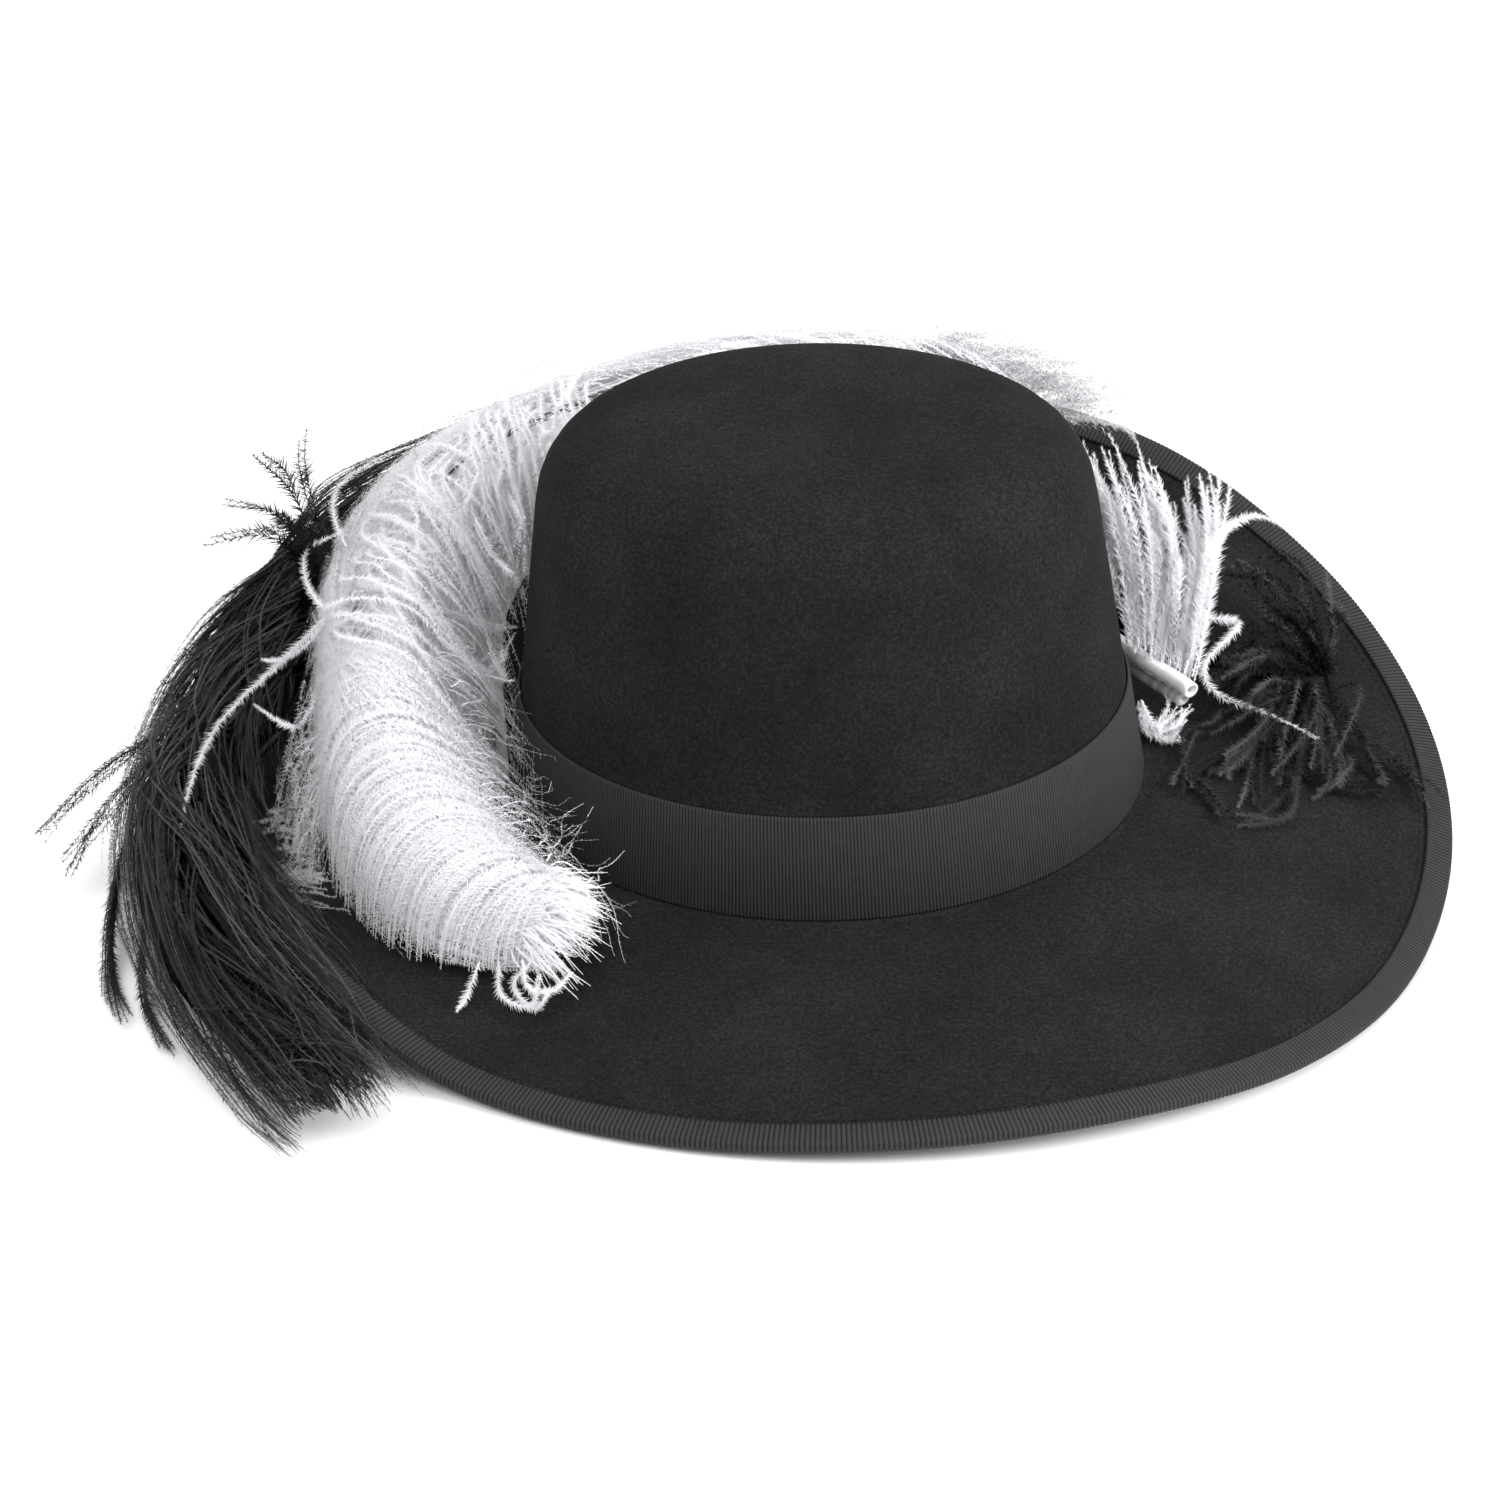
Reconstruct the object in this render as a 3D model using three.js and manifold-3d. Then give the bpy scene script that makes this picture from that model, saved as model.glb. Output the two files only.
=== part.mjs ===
// Cavalier hat: wool felt crown and brim in one piece, ribbon band, ribbon edge binding and two ostrich plumes.
// Millimetres. The hat is built upright about its crown axis, front towards +X, and then set down on its brim.
import * as THREE from 'three';
import Module from 'manifold-3d';

const wasm = await Module();
wasm.setup();

// Driving dimensions. Heights are above the line where the crown meets the brim, angles are round the head
// from the front, positive towards the turned-up side.
const head = { length: 201.4, width: 167 };
const felt = { wall: 2 };
const crown = { height: 131.3, lean: 0.136, cornerInset: 38.5, cornerRise: 29.3, cornerPower: 2.6 };
const brim = { width: 104.3, sweep: 1.65 };
const band = { height: 35.6, thickness: 1 };
const binding = { width: 8, thickness: 1 };
const strap = { angle: 43, width: 12, thickness: 1.2, reach: 27, height: 27, corner: 6 };
const whiteQuill = { radius: 2.7, below: 5.2, setBack: 2.5 };
const blackQuill = { radius: 2.4 };
const whiteVane = { thickness: 6, start: 52, end: 243, locks: 13, lockWidth: 23, lockThickness: 4, tuck: 0.5, fanWidth: 12 };
const blackVane = { thickness: 6, start: 52, end: 240, locks: 13, lockWidth: 23, lockThickness: 4, tuck: 0.5, fanWidth: 12 };
const clearance = 0.3;
const roundSteps = 56;
const quillSides = 6;
const quillSteps = 12;
const lockSteps = 4;

// How far the brim climbs or droops from its root to its edge, in degrees.
const brimSlopes = [
  { angle: -180, slope: -9.5 },
  { angle: -160, slope: -3 },
  { angle: -140, slope: 7.5 },
  { angle: -120, slope: -1.5 },
  { angle: -100, slope: -3 },
  { angle: -80, slope: -3 },
  { angle: -60, slope: -5.5 },
  { angle: -40, slope: -12.5 },
  { angle: -20, slope: -18 },
  { angle: 0, slope: -15 },
  { angle: 20, slope: -7.5 },
  { angle: 40, slope: 4 },
  { angle: 60, slope: 17 },
  { angle: 80, slope: 21.5 },
  { angle: 100, slope: 14.5 },
  { angle: 120, slope: -2 },
  { angle: 140, slope: -17.5 },
  { angle: 160, slope: -15 },
];

// The three stretches of brim edge that carry the hat when it is set down.
const restAngles = [-18, -97, 148];

// Vane sections of the plumes. Reach is a share of the brim's width out from the crown, lift a share of the
// crown's height. A section arches from its outer edge over its crest to its inner edge, next to the crown.
const whiteSections = [
  { angle: 52, outerReach: 0.3, outerLift: 0.22, crestReach: 0.16, crestLift: 0.34, innerReach: 0.075, innerLift: 0.14 },
  { angle: 62, outerReach: 0.42, outerLift: 0.4, crestReach: 0.22, crestLift: 0.6, innerReach: 0.075, innerLift: 0.15 },
  { angle: 80, outerReach: 0.5, outerLift: 0.46, crestReach: 0.25, crestLift: 0.69, innerReach: 0.075, innerLift: 0.18 },
  { angle: 100, outerReach: 0.52, outerLift: 0.5, crestReach: 0.24, crestLift: 0.7, innerReach: 0.08, innerLift: 0.24 },
  { angle: 118, outerReach: 0.56, outerLift: 0.52, crestReach: 0.2, crestLift: 0.71, innerReach: 0.08, innerLift: 0.34 },
  { angle: 133, outerReach: 0.74, outerLift: 0.46, crestReach: 0.22, crestLift: 0.68, innerReach: 0.09, innerLift: 0.4 },
  { angle: 148, outerReach: 0.88, outerLift: 0.36, crestReach: 0.26, crestLift: 0.65, innerReach: 0.09, innerLift: 0.36 },
  { angle: 162, outerReach: 0.8, outerLift: 0.24, crestReach: 0.3, crestLift: 0.61, innerReach: 0.08, innerLift: 0.3 },
  { angle: 178, outerReach: 0.68, outerLift: 0.13, crestReach: 0.32, crestLift: 0.56, innerReach: 0.07, innerLift: 0.24 },
  { angle: 193, outerReach: 0.64, outerLift: 0.09, crestReach: 0.36, crestLift: 0.51, innerReach: 0.07, innerLift: 0.2 },
  { angle: 206, outerReach: 0.66, outerLift: 0.09, crestReach: 0.43, crestLift: 0.45, innerReach: 0.09, innerLift: 0.16 },
  { angle: 218, outerReach: 0.7, outerLift: 0.09, crestReach: 0.5, crestLift: 0.38, innerReach: 0.13, innerLift: 0.12 },
  { angle: 229, outerReach: 0.68, outerLift: 0.08, crestReach: 0.52, crestLift: 0.3, innerReach: 0.17, innerLift: 0.09 },
  { angle: 237, outerReach: 0.56, outerLift: 0.07, crestReach: 0.46, crestLift: 0.21, innerReach: 0.22, innerLift: 0.08 },
  { angle: 243, outerReach: 0.44, outerLift: 0.07, crestReach: 0.37, crestLift: 0.13, innerReach: 0.27, innerLift: 0.07 },
];
const blackSections = [
  { angle: 52, outerReach: 0.34, outerLift: 0.08, crestReach: 0.26, crestLift: 0.11, innerReach: 0.19, innerLift: 0.08 },
  { angle: 64, outerReach: 0.6, outerLift: 0.17, crestReach: 0.4, crestLift: 0.22, innerReach: 0.2, innerLift: 0.1 },
  { angle: 84, outerReach: 0.8, outerLift: 0.3, crestReach: 0.5, crestLift: 0.33, innerReach: 0.22, innerLift: 0.13 },
  { angle: 104, outerReach: 0.92, outerLift: 0.34, crestReach: 0.55, crestLift: 0.38, innerReach: 0.25, innerLift: 0.16 },
  { angle: 122, outerReach: 0.98, outerLift: 0.33, crestReach: 0.62, crestLift: 0.36, innerReach: 0.28, innerLift: 0.16 },
  { angle: 138, outerReach: 1.04, outerLift: 0.29, crestReach: 0.72, crestLift: 0.27, innerReach: 0.38, innerLift: 0.1 },
  { angle: 153, outerReach: 1.06, outerLift: 0.25, crestReach: 0.86, crestLift: 0.17, innerReach: 0.5, innerLift: 0.04 },
  { angle: 168, outerReach: 1.1, outerLift: 0.15, crestReach: 0.94, crestLift: 0.15, innerReach: 0.6, innerLift: 0.02 },
  { angle: 182, outerReach: 1.18, outerLift: 0.04, crestReach: 1, crestLift: 0.17, innerReach: 0.74, innerLift: 0.05 },
  { angle: 196, outerReach: 1.32, outerLift: -0.03, crestReach: 1.08, crestLift: 0.2, innerReach: 0.78, innerLift: 0.07 },
  { angle: 209, outerReach: 1.4, outerLift: -0.02, crestReach: 1.14, crestLift: 0.2, innerReach: 0.82, innerLift: 0.1 },
  { angle: 221, outerReach: 1.46, outerLift: 0.01, crestReach: 1.22, crestLift: 0.16, innerReach: 0.9, innerLift: 0.12 },
  { angle: 232, outerReach: 1.5, outerLift: 0.03, crestReach: 1.3, crestLift: 0.13, innerReach: 1.02, innerLift: 0.07 },
  { angle: 243, outerReach: 1.56, outerLift: 0.05, crestReach: 1.42, crestLift: 0.11, innerReach: 1.22, innerLift: 0.05 },
];

// Bare quills, from their cut ends to where they run into the vane.
const whiteShaft = [
  { angle: 12, reach: 0.18, lift: 0.13 },
  { angle: 24, reach: 0.09, lift: 0.14 },
  { angle: 43, reach: 0.075, lift: 0.135 },
  { angle: 62, reach: 0.075, lift: 0.15 },
  { angle: 80, reach: 0.075, lift: 0.18 },
  { angle: 100, reach: 0.08, lift: 0.24 },
];
const blackShaft = [
  { angle: 21, reach: 0.69, lift: -0.02 },
  { angle: 26, reach: 0.45, lift: 0.02 },
  { angle: 33, reach: 0.28, lift: 0.06 },
  { angle: 43, reach: 0.19, lift: 0.075 },
  { angle: 64, reach: 0.2, lift: 0.1 },
  { angle: 84, reach: 0.22, lift: 0.13 },
  { angle: 104, reach: 0.25, lift: 0.16 },
];

// Loose locks at the quill ends. Each bends from its root over a middle to its tip.
const whiteFan = [
  { rootAngle: 27, midAngle: 33, midReach: 0.1, midLift: 0.4, tipAngle: 39, tipReach: 0.12, tipLift: 0.72 },
  { rootAngle: 23, midAngle: 28, midReach: 0.13, midLift: 0.38, tipAngle: 34, tipReach: 0.17, tipLift: 0.62 },
  { rootAngle: 19, midAngle: 23, midReach: 0.19, midLift: 0.33, tipAngle: 29, tipReach: 0.26, tipLift: 0.54 },
  { rootAngle: 15, midAngle: 18, midReach: 0.3, midLift: 0.25, tipAngle: 24, tipReach: 0.5, tipLift: 0.34 },
];
const blackFan = [
  { rootAngle: 22, midAngle: 28, midReach: 0.7, midLift: 0.05, tipAngle: 38, tipReach: 0.62, tipLift: 0.12 },
  { rootAngle: 24, midAngle: 30, midReach: 0.5, midLift: 0.08, tipAngle: 37, tipReach: 0.42, tipLift: 0.14 },
  { rootAngle: 24, midAngle: 22, midReach: 0.4, midLift: 0.07, tipAngle: 17, tipReach: 0.27, tipLift: 0.03 },
  { rootAngle: 22, midAngle: 14, midReach: 0.52, midLift: 0.04, tipAngle: 4, tipReach: 0.3, tipLift: 0.03 },
  { rootAngle: 22, midAngle: 11, midReach: 0.62, midLift: 0.03, tipAngle: -6, tipReach: 0.46, tipLift: 0.02 },
  { rootAngle: 21, midAngle: 11, midReach: 0.76, midLift: 0.02, tipAngle: 0, tipReach: 0.7, tipLift: 0 },
];

const radians = THREE.MathUtils.degToRad;
const round = (count) => Array.from({ length: count }, (_, i) => (360 * i) / count);
const steps = (from, to, count) => Array.from({ length: count }, (_, i) => from + ((to - from) * i) / (count - 1));

// Value of a table's column at an angle: a cubic between rows, with its slopes taken across each row.
function column(rows, name, angle) {
  const last = rows.length - 1;
  const next = rows.findIndex((row) => row.angle > angle);
  const i = next < 0 ? last - 1 : Math.max(next - 1, 0);
  const slope = (k) => {
    const [a, b] = [rows[Math.max(k - 1, 0)], rows[Math.min(k + 1, last)]];
    return (b[name] - a[name]) / (b.angle - a.angle);
  };
  const span = rows[i + 1].angle - rows[i].angle;
  const t = THREE.MathUtils.clamp((angle - rows[i].angle) / span, 0, 1);
  const [u, v] = [t * t * (3 - 2 * t), t * (1 - t)];
  const bend = span * v * (slope(i) * (1 - t) - slope(i + 1) * t);
  return rows[i][name] * (1 - u) + rows[i + 1][name] * u + bend;
}

// Places round the head: reach is measured out from the felt's outer face at the root of the crown.
const oval = { length: head.length / 2 + felt.wall, width: head.width / 2 + felt.wall };
const place = (angle, { reach, height }) =>
  new THREE.Vector3(
    (oval.length + reach) * Math.cos(radians(angle)),
    (oval.width + reach) * Math.sin(radians(angle)),
    height,
  );

const wholeTurn = 360;
const slopesAllRound = [-wholeTurn, 0, wholeTurn].flatMap((turn) =>
  brimSlopes.map((row) => ({ angle: row.angle + turn, slope: row.slope })),
);
const brimSlope = (angle) => radians(column(slopesAllRound, 'slope', angle));

// A point of the brim at a share of its width, raised square to its top face and moved on past its edge.
function onBrim(angle, share, raise = 0, past = 0) {
  const slope = brimSlope(angle);
  const tilt = Math.atan(Math.tan(slope) * brim.sweep * share ** (brim.sweep - 1));
  return {
    reach: brim.width * share * Math.cos(slope) - raise * Math.sin(tilt) + past * Math.cos(tilt),
    height: brim.width * Math.sin(slope) * share ** brim.sweep + raise * Math.cos(tilt) + past * Math.sin(tilt),
  };
}

// A point of the crown's side at a height, moved out from its outer face.
const onSide = (height, out = 0) => ({ reach: out - crown.lean * height, height });

// A point of the crown's rounded top edge: turn runs from 0 at the side to 90 on the flat top.
function onCorner(turn, out = 0) {
  const [c, s] = [Math.cos(radians(turn)), Math.sin(radians(turn))];
  const inset = crown.cornerInset * (1 - Math.abs(c) ** (2 / crown.cornerPower));
  const height = crown.height - crown.cornerRise * (1 - s ** (2 / crown.cornerPower));
  return { reach: -crown.lean * height - inset + out * c, height: height + out * s };
}

// Triangles over closed loops of points joined in order: the ends are capped, or the last loop meets the first.
function skin(loops, wrap = false) {
  const size = loops[0].length;
  const points = loops.flat();
  const triangles = [];
  const bands = wrap ? loops.length : loops.length - 1;
  for (let i = 0; i < bands; i++) {
    const [low, high] = [i * size, ((i + 1) % loops.length) * size];
    for (let j = 0; j < size; j++) {
      const k = (j + 1) % size;
      triangles.push([low + j, low + k, high + k], [low + j, high + k, high + j]);
    }
  }
  if (!wrap) {
    for (const [loop, flip] of [[0, true], [loops.length - 1, false]]) {
      const middle = loops[loop].reduce((sum, p) => sum.add(p), new THREE.Vector3()).divideScalar(size);
      const hub = points.push(middle) - 1;
      for (let j = 0; j < size; j++) {
        const [a, b] = [loop * size + j, loop * size + ((j + 1) % size)];
        triangles.push(flip ? [hub, b, a] : [hub, a, b]);
      }
    }
  }
  const volume = triangles.reduce((sum, [a, b, c]) => sum + points[a].dot(points[b].clone().cross(points[c])), 0);
  const facing = volume > 0 ? triangles : triangles.map(([a, b, c]) => [a, c, b]);
  return new wasm.Manifold(
    new wasm.Mesh({
      numProp: 3,
      vertProperties: new Float32Array(points.flatMap((p) => [p.x, p.y, p.z])),
      triVerts: new Uint32Array(facing.flat()),
    }),
  );
}

// A body turned round the head: each entry of its outline is a function of the angle.
const turned = (outline, wrap) => skin(outline.map((at) => round(roundSteps).map((a) => place(a, at(a)))), wrap);

const brimShares = [0.15, 0.4, 0.68, 1 - binding.width / brim.width, 1];
const sideHeights = [0, band.height, (band.height + crown.height - crown.cornerRise) / 2];
const cornerTurns = [0, 20, 40, 60, 78, 90];

function feltBody() {
  const inside = [
    ...cornerTurns.toReversed().map((turn) => () => onCorner(turn, -felt.wall)),
    ...sideHeights.slice(1).toReversed().map((height) => () => onSide(height, -felt.wall)),
    () => ({ reach: -felt.wall, height: -felt.wall }),
    ...brimShares.map((share) => (angle) => onBrim(angle, share, -felt.wall)),
  ];
  const outside = [
    ...brimShares.toReversed().map((share) => (angle) => onBrim(angle, share)),
    ...sideHeights.map((height) => () => onSide(height)),
    ...cornerTurns.map((turn) => () => onCorner(turn)),
  ];
  return turned([...inside, ...outside]);
}

function hatBand() {
  const [inner, outer] = [clearance, clearance + band.thickness];
  return turned(
    [
      () => onSide(clearance, inner),
      () => onSide(clearance, outer),
      () => onSide(clearance + band.height, outer),
      () => onSide(clearance + band.height, inner),
    ],
    true,
  );
}

function brimBinding() {
  const from = 1 - binding.width / brim.width;
  const [near, far] = [clearance, clearance + binding.thickness];
  return turned(
    [
      (angle) => onBrim(angle, from, far),
      (angle) => onBrim(angle, 1, far, near),
      (angle) => onBrim(angle, 1, near, far),
      (angle) => onBrim(angle, 1, -felt.wall - near, far),
      (angle) => onBrim(angle, 1, -felt.wall - far, near),
      (angle) => onBrim(angle, from, -felt.wall - far),
      (angle) => onBrim(angle, from, -felt.wall - near),
      (angle) => onBrim(angle, 1, -felt.wall - near, near),
      (angle) => onBrim(angle, 1, near, near),
      (angle) => onBrim(angle, from, near),
    ],
    true,
  );
}

// Everything that the plumes keep clear of: the trimmed hat with its hollow filled, grown by the clearance.
function trimmedHat() {
  const from = 1 - binding.width / brim.width;
  const trim = binding.thickness + 2 * clearance;
  const bandOut = band.thickness + 2 * clearance;
  const under = -felt.wall - trim;
  return turned([
    ...brimShares.map((share) => (angle) => onBrim(angle, share, under, share === 1 ? trim : 0)),
    (angle) => onBrim(angle, 1, trim, trim),
    (angle) => onBrim(angle, from, trim),
    (angle) => onBrim(angle, from - clearance / brim.width, clearance),
    ...brimShares.slice(0, -2).toReversed().map((share) => (angle) => onBrim(angle, share, clearance)),
    () => onSide(clearance, bandOut),
    () => onSide(band.height + 2 * clearance, bandOut),
    () => onSide(band.height + 2 * clearance, clearance),
    ...cornerTurns.map((turn) => () => onCorner(turn, clearance)),
  ]);
}

// The surface that the hat is set down on, through the lowest points of the binding at the three rest angles.
const sole = -felt.wall - clearance - binding.thickness;
const [restA, restB, restC] = restAngles.map((angle) => place(angle, onBrim(angle, 1, sole)));
const up = restB.clone().sub(restA).cross(restC.clone().sub(restA)).normalize();
if (up.z < 0) up.negate();
const soleHeights = round(roundSteps).map((angle) => up.dot(place(angle, onBrim(angle, 1, sole))));
const groundLevel = Math.min(...soleHeights);
const groundBelow = (point) => (groundLevel - up.x * point.x - up.y * point.y) / up.z;

// Lifts a point of a plume onto the brim or the ground, and keeps it off the side of the crown.
function settle(angle, { reach, height }, half) {
  const edge = onBrim(angle, 1, 0, binding.thickness + 2 * clearance).reach;
  const share = THREE.MathUtils.clamp(reach / onBrim(angle, 1).reach, 0, 1);
  const trim = binding.thickness + 2 * clearance;
  const floor = reach < edge + half ? onBrim(angle, share).height + trim : groundBelow(place(angle, { reach, height: 0 }));
  const lifted = Math.max(height, floor + half);
  const wall = lifted < band.height ? band.thickness + 2 * clearance : clearance;
  return { reach: Math.max(reach, onSide(Math.min(lifted, crown.height), wall).reach + half), height: lifted };
}

// A point of a vane: side runs from -1 at its outer edge over 0 at its crest to 1 at its inner edge.
function onVane(rows, angle, side, raise, half) {
  const read = (name, scale) => column(rows, name, angle) * scale;
  const [outer, crest, inner] = ['outer', 'crest', 'inner'].map((name) => ({
    reach: read(`${name}Reach`, brim.width),
    height: read(`${name}Lift`, crown.height),
  }));
  const along = (key) => crest[key] + (side * (inner[key] - outer[key])) / 2
    + side * side * ((inner[key] + outer[key]) / 2 - crest[key]);
  const rate = (key) => (inner[key] - outer[key]) / 2 + side * (inner[key] + outer[key] - 2 * crest[key]);
  const length = Math.hypot(rate('reach'), rate('height'));
  const middle = settle(angle, { reach: along('reach'), height: along('height') }, half);
  return place(angle, {
    reach: middle.reach + (raise * rate('height')) / length,
    height: middle.height - (raise * rate('reach')) / length,
  });
}

// The closed core of a vane, thickest under its crest.
function vaneCore(rows, vane, grow) {
  const sides = steps(-1, 1, 5);
  const thin = (side) => (vane.thickness / 2) * (1 - 0.7 * side * side) + grow;
  const more = THREE.MathUtils.radToDeg(grow / oval.width);
  return skin(
    steps(vane.start - more, vane.end + more, 19).map((angle) => [
      ...sides.map((side) => onVane(rows, angle, side, thin(side), thin(side))),
      ...sides.toReversed().map((side) => onVane(rows, angle, side, -thin(side), thin(side))),
    ]),
  );
}

// A tapering strip with a lens-shaped section through a row of points, flat towards the given outward directions.
function strip(points, outward, { width, thickness, taper }, grow) {
  const last = points.length - 1;
  return skin(
    points.map((point, i) => {
      const along = points[Math.min(i + 1, last)].clone().sub(points[Math.max(i - 1, 0)]).normalize();
      const across = along.clone().cross(outward[i]).normalize();
      const shrink = 1 - taper * (i / last) ** 2;
      const end = (i === last) - (i === 0);
      const centre = point.clone().addScaledVector(along, end * grow);
      const side = across.multiplyScalar((width / 2) * shrink + grow);
      const face = outward[i].clone().multiplyScalar((thickness / 2) * shrink + grow);
      return [centre.clone().add(side), centre.clone().add(face), centre.clone().sub(side), centre.clone().sub(face)];
    }),
  );
}

// Locks that leave the core's edges and sweep on towards the plume's tip.
function vaneLocks(rows, vane, grow) {
  const sweep = (vane.end - vane.start) / vane.locks;
  return [-1, 1].flatMap((edge) =>
    steps(vane.start + sweep / 2, vane.end - sweep / 2, vane.locks).map((angle, n) => {
      const tip = 1.22 + 0.16 * Math.sin(2.4 * n + edge);
      const half = vane.lockThickness / 2 + grow;
      const path = steps(0, 1, lockSteps).map((t) => ({
        angle: angle + 0.8 * sweep * t * t,
        side: edge * (vane.tuck + (tip - vane.tuck) * t),
      }));
      const points = path.map((p) => onVane(rows, p.angle, p.side, 0, half));
      const outward = path.map((p, i) => onVane(rows, p.angle, p.side, 1, half).sub(points[i]).normalize());
      return strip(points, outward, { width: vane.lockWidth, thickness: vane.lockThickness, taper: 0.85 }, grow);
    }),
  );
}

// A round quill through the rows of its table.
function quill(rows, radius, { below = 0, setBack = 0 } = {}) {
  const [first, last] = [rows[0].angle, rows.at(-1).angle];
  const centres = steps(first + setBack, last, quillSteps).map((angle) => {
    const reach = column(rows, 'reach', angle) * brim.width;
    const height = column(rows, 'lift', angle) * crown.height - below;
    const seated = settle(angle, { reach, height }, radius);
    return place(angle, seated);
  });
  return skin(
    centres.map((centre, i) => {
      const along = centres[Math.min(i + 1, quillSteps - 1)].clone().sub(centres[Math.max(i - 1, 0)]).normalize();
      const side = new THREE.Vector3(0, 0, 1).cross(along).normalize();
      const top = along.clone().cross(side);
      return round(quillSides).map((turn) => centre.clone()
        .addScaledVector(side, radius * Math.cos(radians(turn)))
        .addScaledVector(top, radius * Math.sin(radians(turn))));
    }),
  );
}

// Locks that fan out from a quill near its cut end.
function endFan(fan, shaft, vane, grow) {
  return fan.map((lock) => {
    const root = {
      angle: lock.rootAngle,
      reach: column(shaft, 'reach', lock.rootAngle),
      lift: column(shaft, 'lift', lock.rootAngle),
    };
    const half = vane.lockThickness / 2 + grow;
    const bow = (t, a, b, c) => a * (1 - t) ** 2 + 2 * b * t * (1 - t) + c * t * t;
    const points = steps(0, 1, lockSteps).map((t) => {
      const angle = bow(t, root.angle, lock.midAngle, lock.tipAngle);
      const reach = bow(t, root.reach, lock.midReach, lock.tipReach) * brim.width;
      const height = bow(t, root.lift, lock.midLift, lock.tipLift) * crown.height;
      return place(angle, settle(angle, { reach, height }, half));
    });
    const outward = points.map((p, i) => {
      const along = points[Math.min(i + 1, lockSteps - 1)].clone().sub(points[Math.max(i - 1, 0)]).normalize();
      const axisWay = new THREE.Vector3(0, 0, 1);
      const outWay = new THREE.Vector3(p.x, p.y, 0).normalize();
      const face = Math.abs(along.z) > 0.5 ? outWay : axisWay;
      return face.addScaledVector(along, -face.dot(along)).normalize();
    });
    return strip(points, outward, { width: vane.fanWidth, thickness: vane.lockThickness, taper: 0.8 }, grow);
  });
}

// The largest single body of a fused shape: a lock that a neighbour cuts right off is left out.
const largest = (shape) => shape.decompose().reduce((a, b) => (a.volume() > b.volume() ? a : b));

function blackPlume(grow = 0) {
  const quills = [quill(blackShaft, blackQuill.radius + grow)];
  const locks = [...vaneLocks(blackSections, blackVane, grow), ...endFan(blackFan, blackShaft, blackVane, grow)];
  return wasm.Manifold.union([vaneCore(blackSections, blackVane, grow), ...quills, ...locks]);
}

function whitePlume() {
  const quills = [
    quill(whiteShaft, whiteQuill.radius),
    quill(whiteShaft, whiteQuill.radius, whiteQuill),
  ];
  const locks = [...vaneLocks(whiteSections, whiteVane, 0), ...endFan(whiteFan, whiteShaft, whiteVane, 0)];
  return wasm.Manifold.union([vaneCore(whiteSections, whiteVane, 0), ...quills, ...locks]);
}

// A flat ribbon loop sewn to the band behind the crown: the quills pass through it.
function plumeStrap(grow = 0) {
  const inner = onSide(0, band.thickness + 2 * clearance);
  const low = onBrim(strap.angle, strap.reach / brim.width).height + 2 * clearance;
  const outline = (inset) => {
    const width = strap.reach - inner.reach - 2 * inset;
    const height = strap.height - low - 2 * inset;
    const corner = strap.corner - inset;
    const shape = [[1, 1, 0], [-1, 1, 90], [-1, -1, 180], [1, -1, 270]];
    return shape.flatMap(([right, above, turn]) => steps(turn, turn + 90, 4).map((a) => ({
      reach: (strap.reach + inner.reach) / 2 + right * (width / 2 - corner) + corner * Math.cos(radians(a)),
      height: (strap.height + low) / 2 + above * (height / 2 - corner) + corner * Math.sin(radians(a)),
    })));
  };
  const half = THREE.MathUtils.radToDeg((strap.width / 2 + grow) / oval.length);
  const loop = (side, inset) => outline(inset).map((at) => place(strap.angle + side * half, at));
  const [out, inn] = [-grow, strap.thickness + grow];
  return skin([loop(-1, out), loop(1, out), loop(1, inn), loop(-1, inn)], true);
}

const finishes = {
  felt: { color: 0x1b1b1c, roughness: 0.95, metalness: 0 },
  ribbon: { color: 0x242425, roughness: 0.7, metalness: 0 },
  white: { color: 0xe9e9ea, roughness: 0.85, metalness: 0 },
  black: { color: 0x0e0e0f, roughness: 0.8, metalness: 0 },
};

function mesh(name, shape, finish) {
  const { numProp, vertProperties, triVerts } = shape.getMesh();
  const geometry = new THREE.BufferGeometry();
  const data = new THREE.InterleavedBuffer(vertProperties, numProp);
  geometry.setAttribute('position', new THREE.InterleavedBufferAttribute(data, 3, 0));
  geometry.setIndex(new THREE.BufferAttribute(triVerts, 1));
  const built = new THREE.Mesh(geometry, new THREE.MeshStandardMaterial(finishes[finish]));
  built.name = name;
  return built;
}

// Front is +X on the finished hat too: the tilt turns it about level lines only.
function setDown(hat) {
  hat.quaternion.setFromUnitVectors(up, new THREE.Vector3(0, 0, 1));
  hat.updateMatrixWorld(true);
  const box = new THREE.Box3().setFromObject(hat, true);
  const centre = box.getCenter(new THREE.Vector3());
  hat.position.set(-centre.x, -centre.y, -box.min.z);
  return new THREE.Group().add(hat);
}

const keepOff = trimmedHat().add(plumeStrap(clearance));
const black = largest(blackPlume().subtract(keepOff));
const white = largest(whitePlume().subtract(keepOff).subtract(blackPlume(clearance)));

const hat = new THREE.Group().add(
  mesh('felt_body', feltBody(), 'felt'),
  mesh('hat_band', hatBand(), 'ribbon'),
  mesh('brim_binding', brimBinding(), 'ribbon'),
  mesh('plume_strap', plumeStrap(), 'ribbon'),
  mesh('white_plume', white, 'white'),
  mesh('black_plume', black, 'black'),
);

export default setDown(hat);
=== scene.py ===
import math

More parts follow.
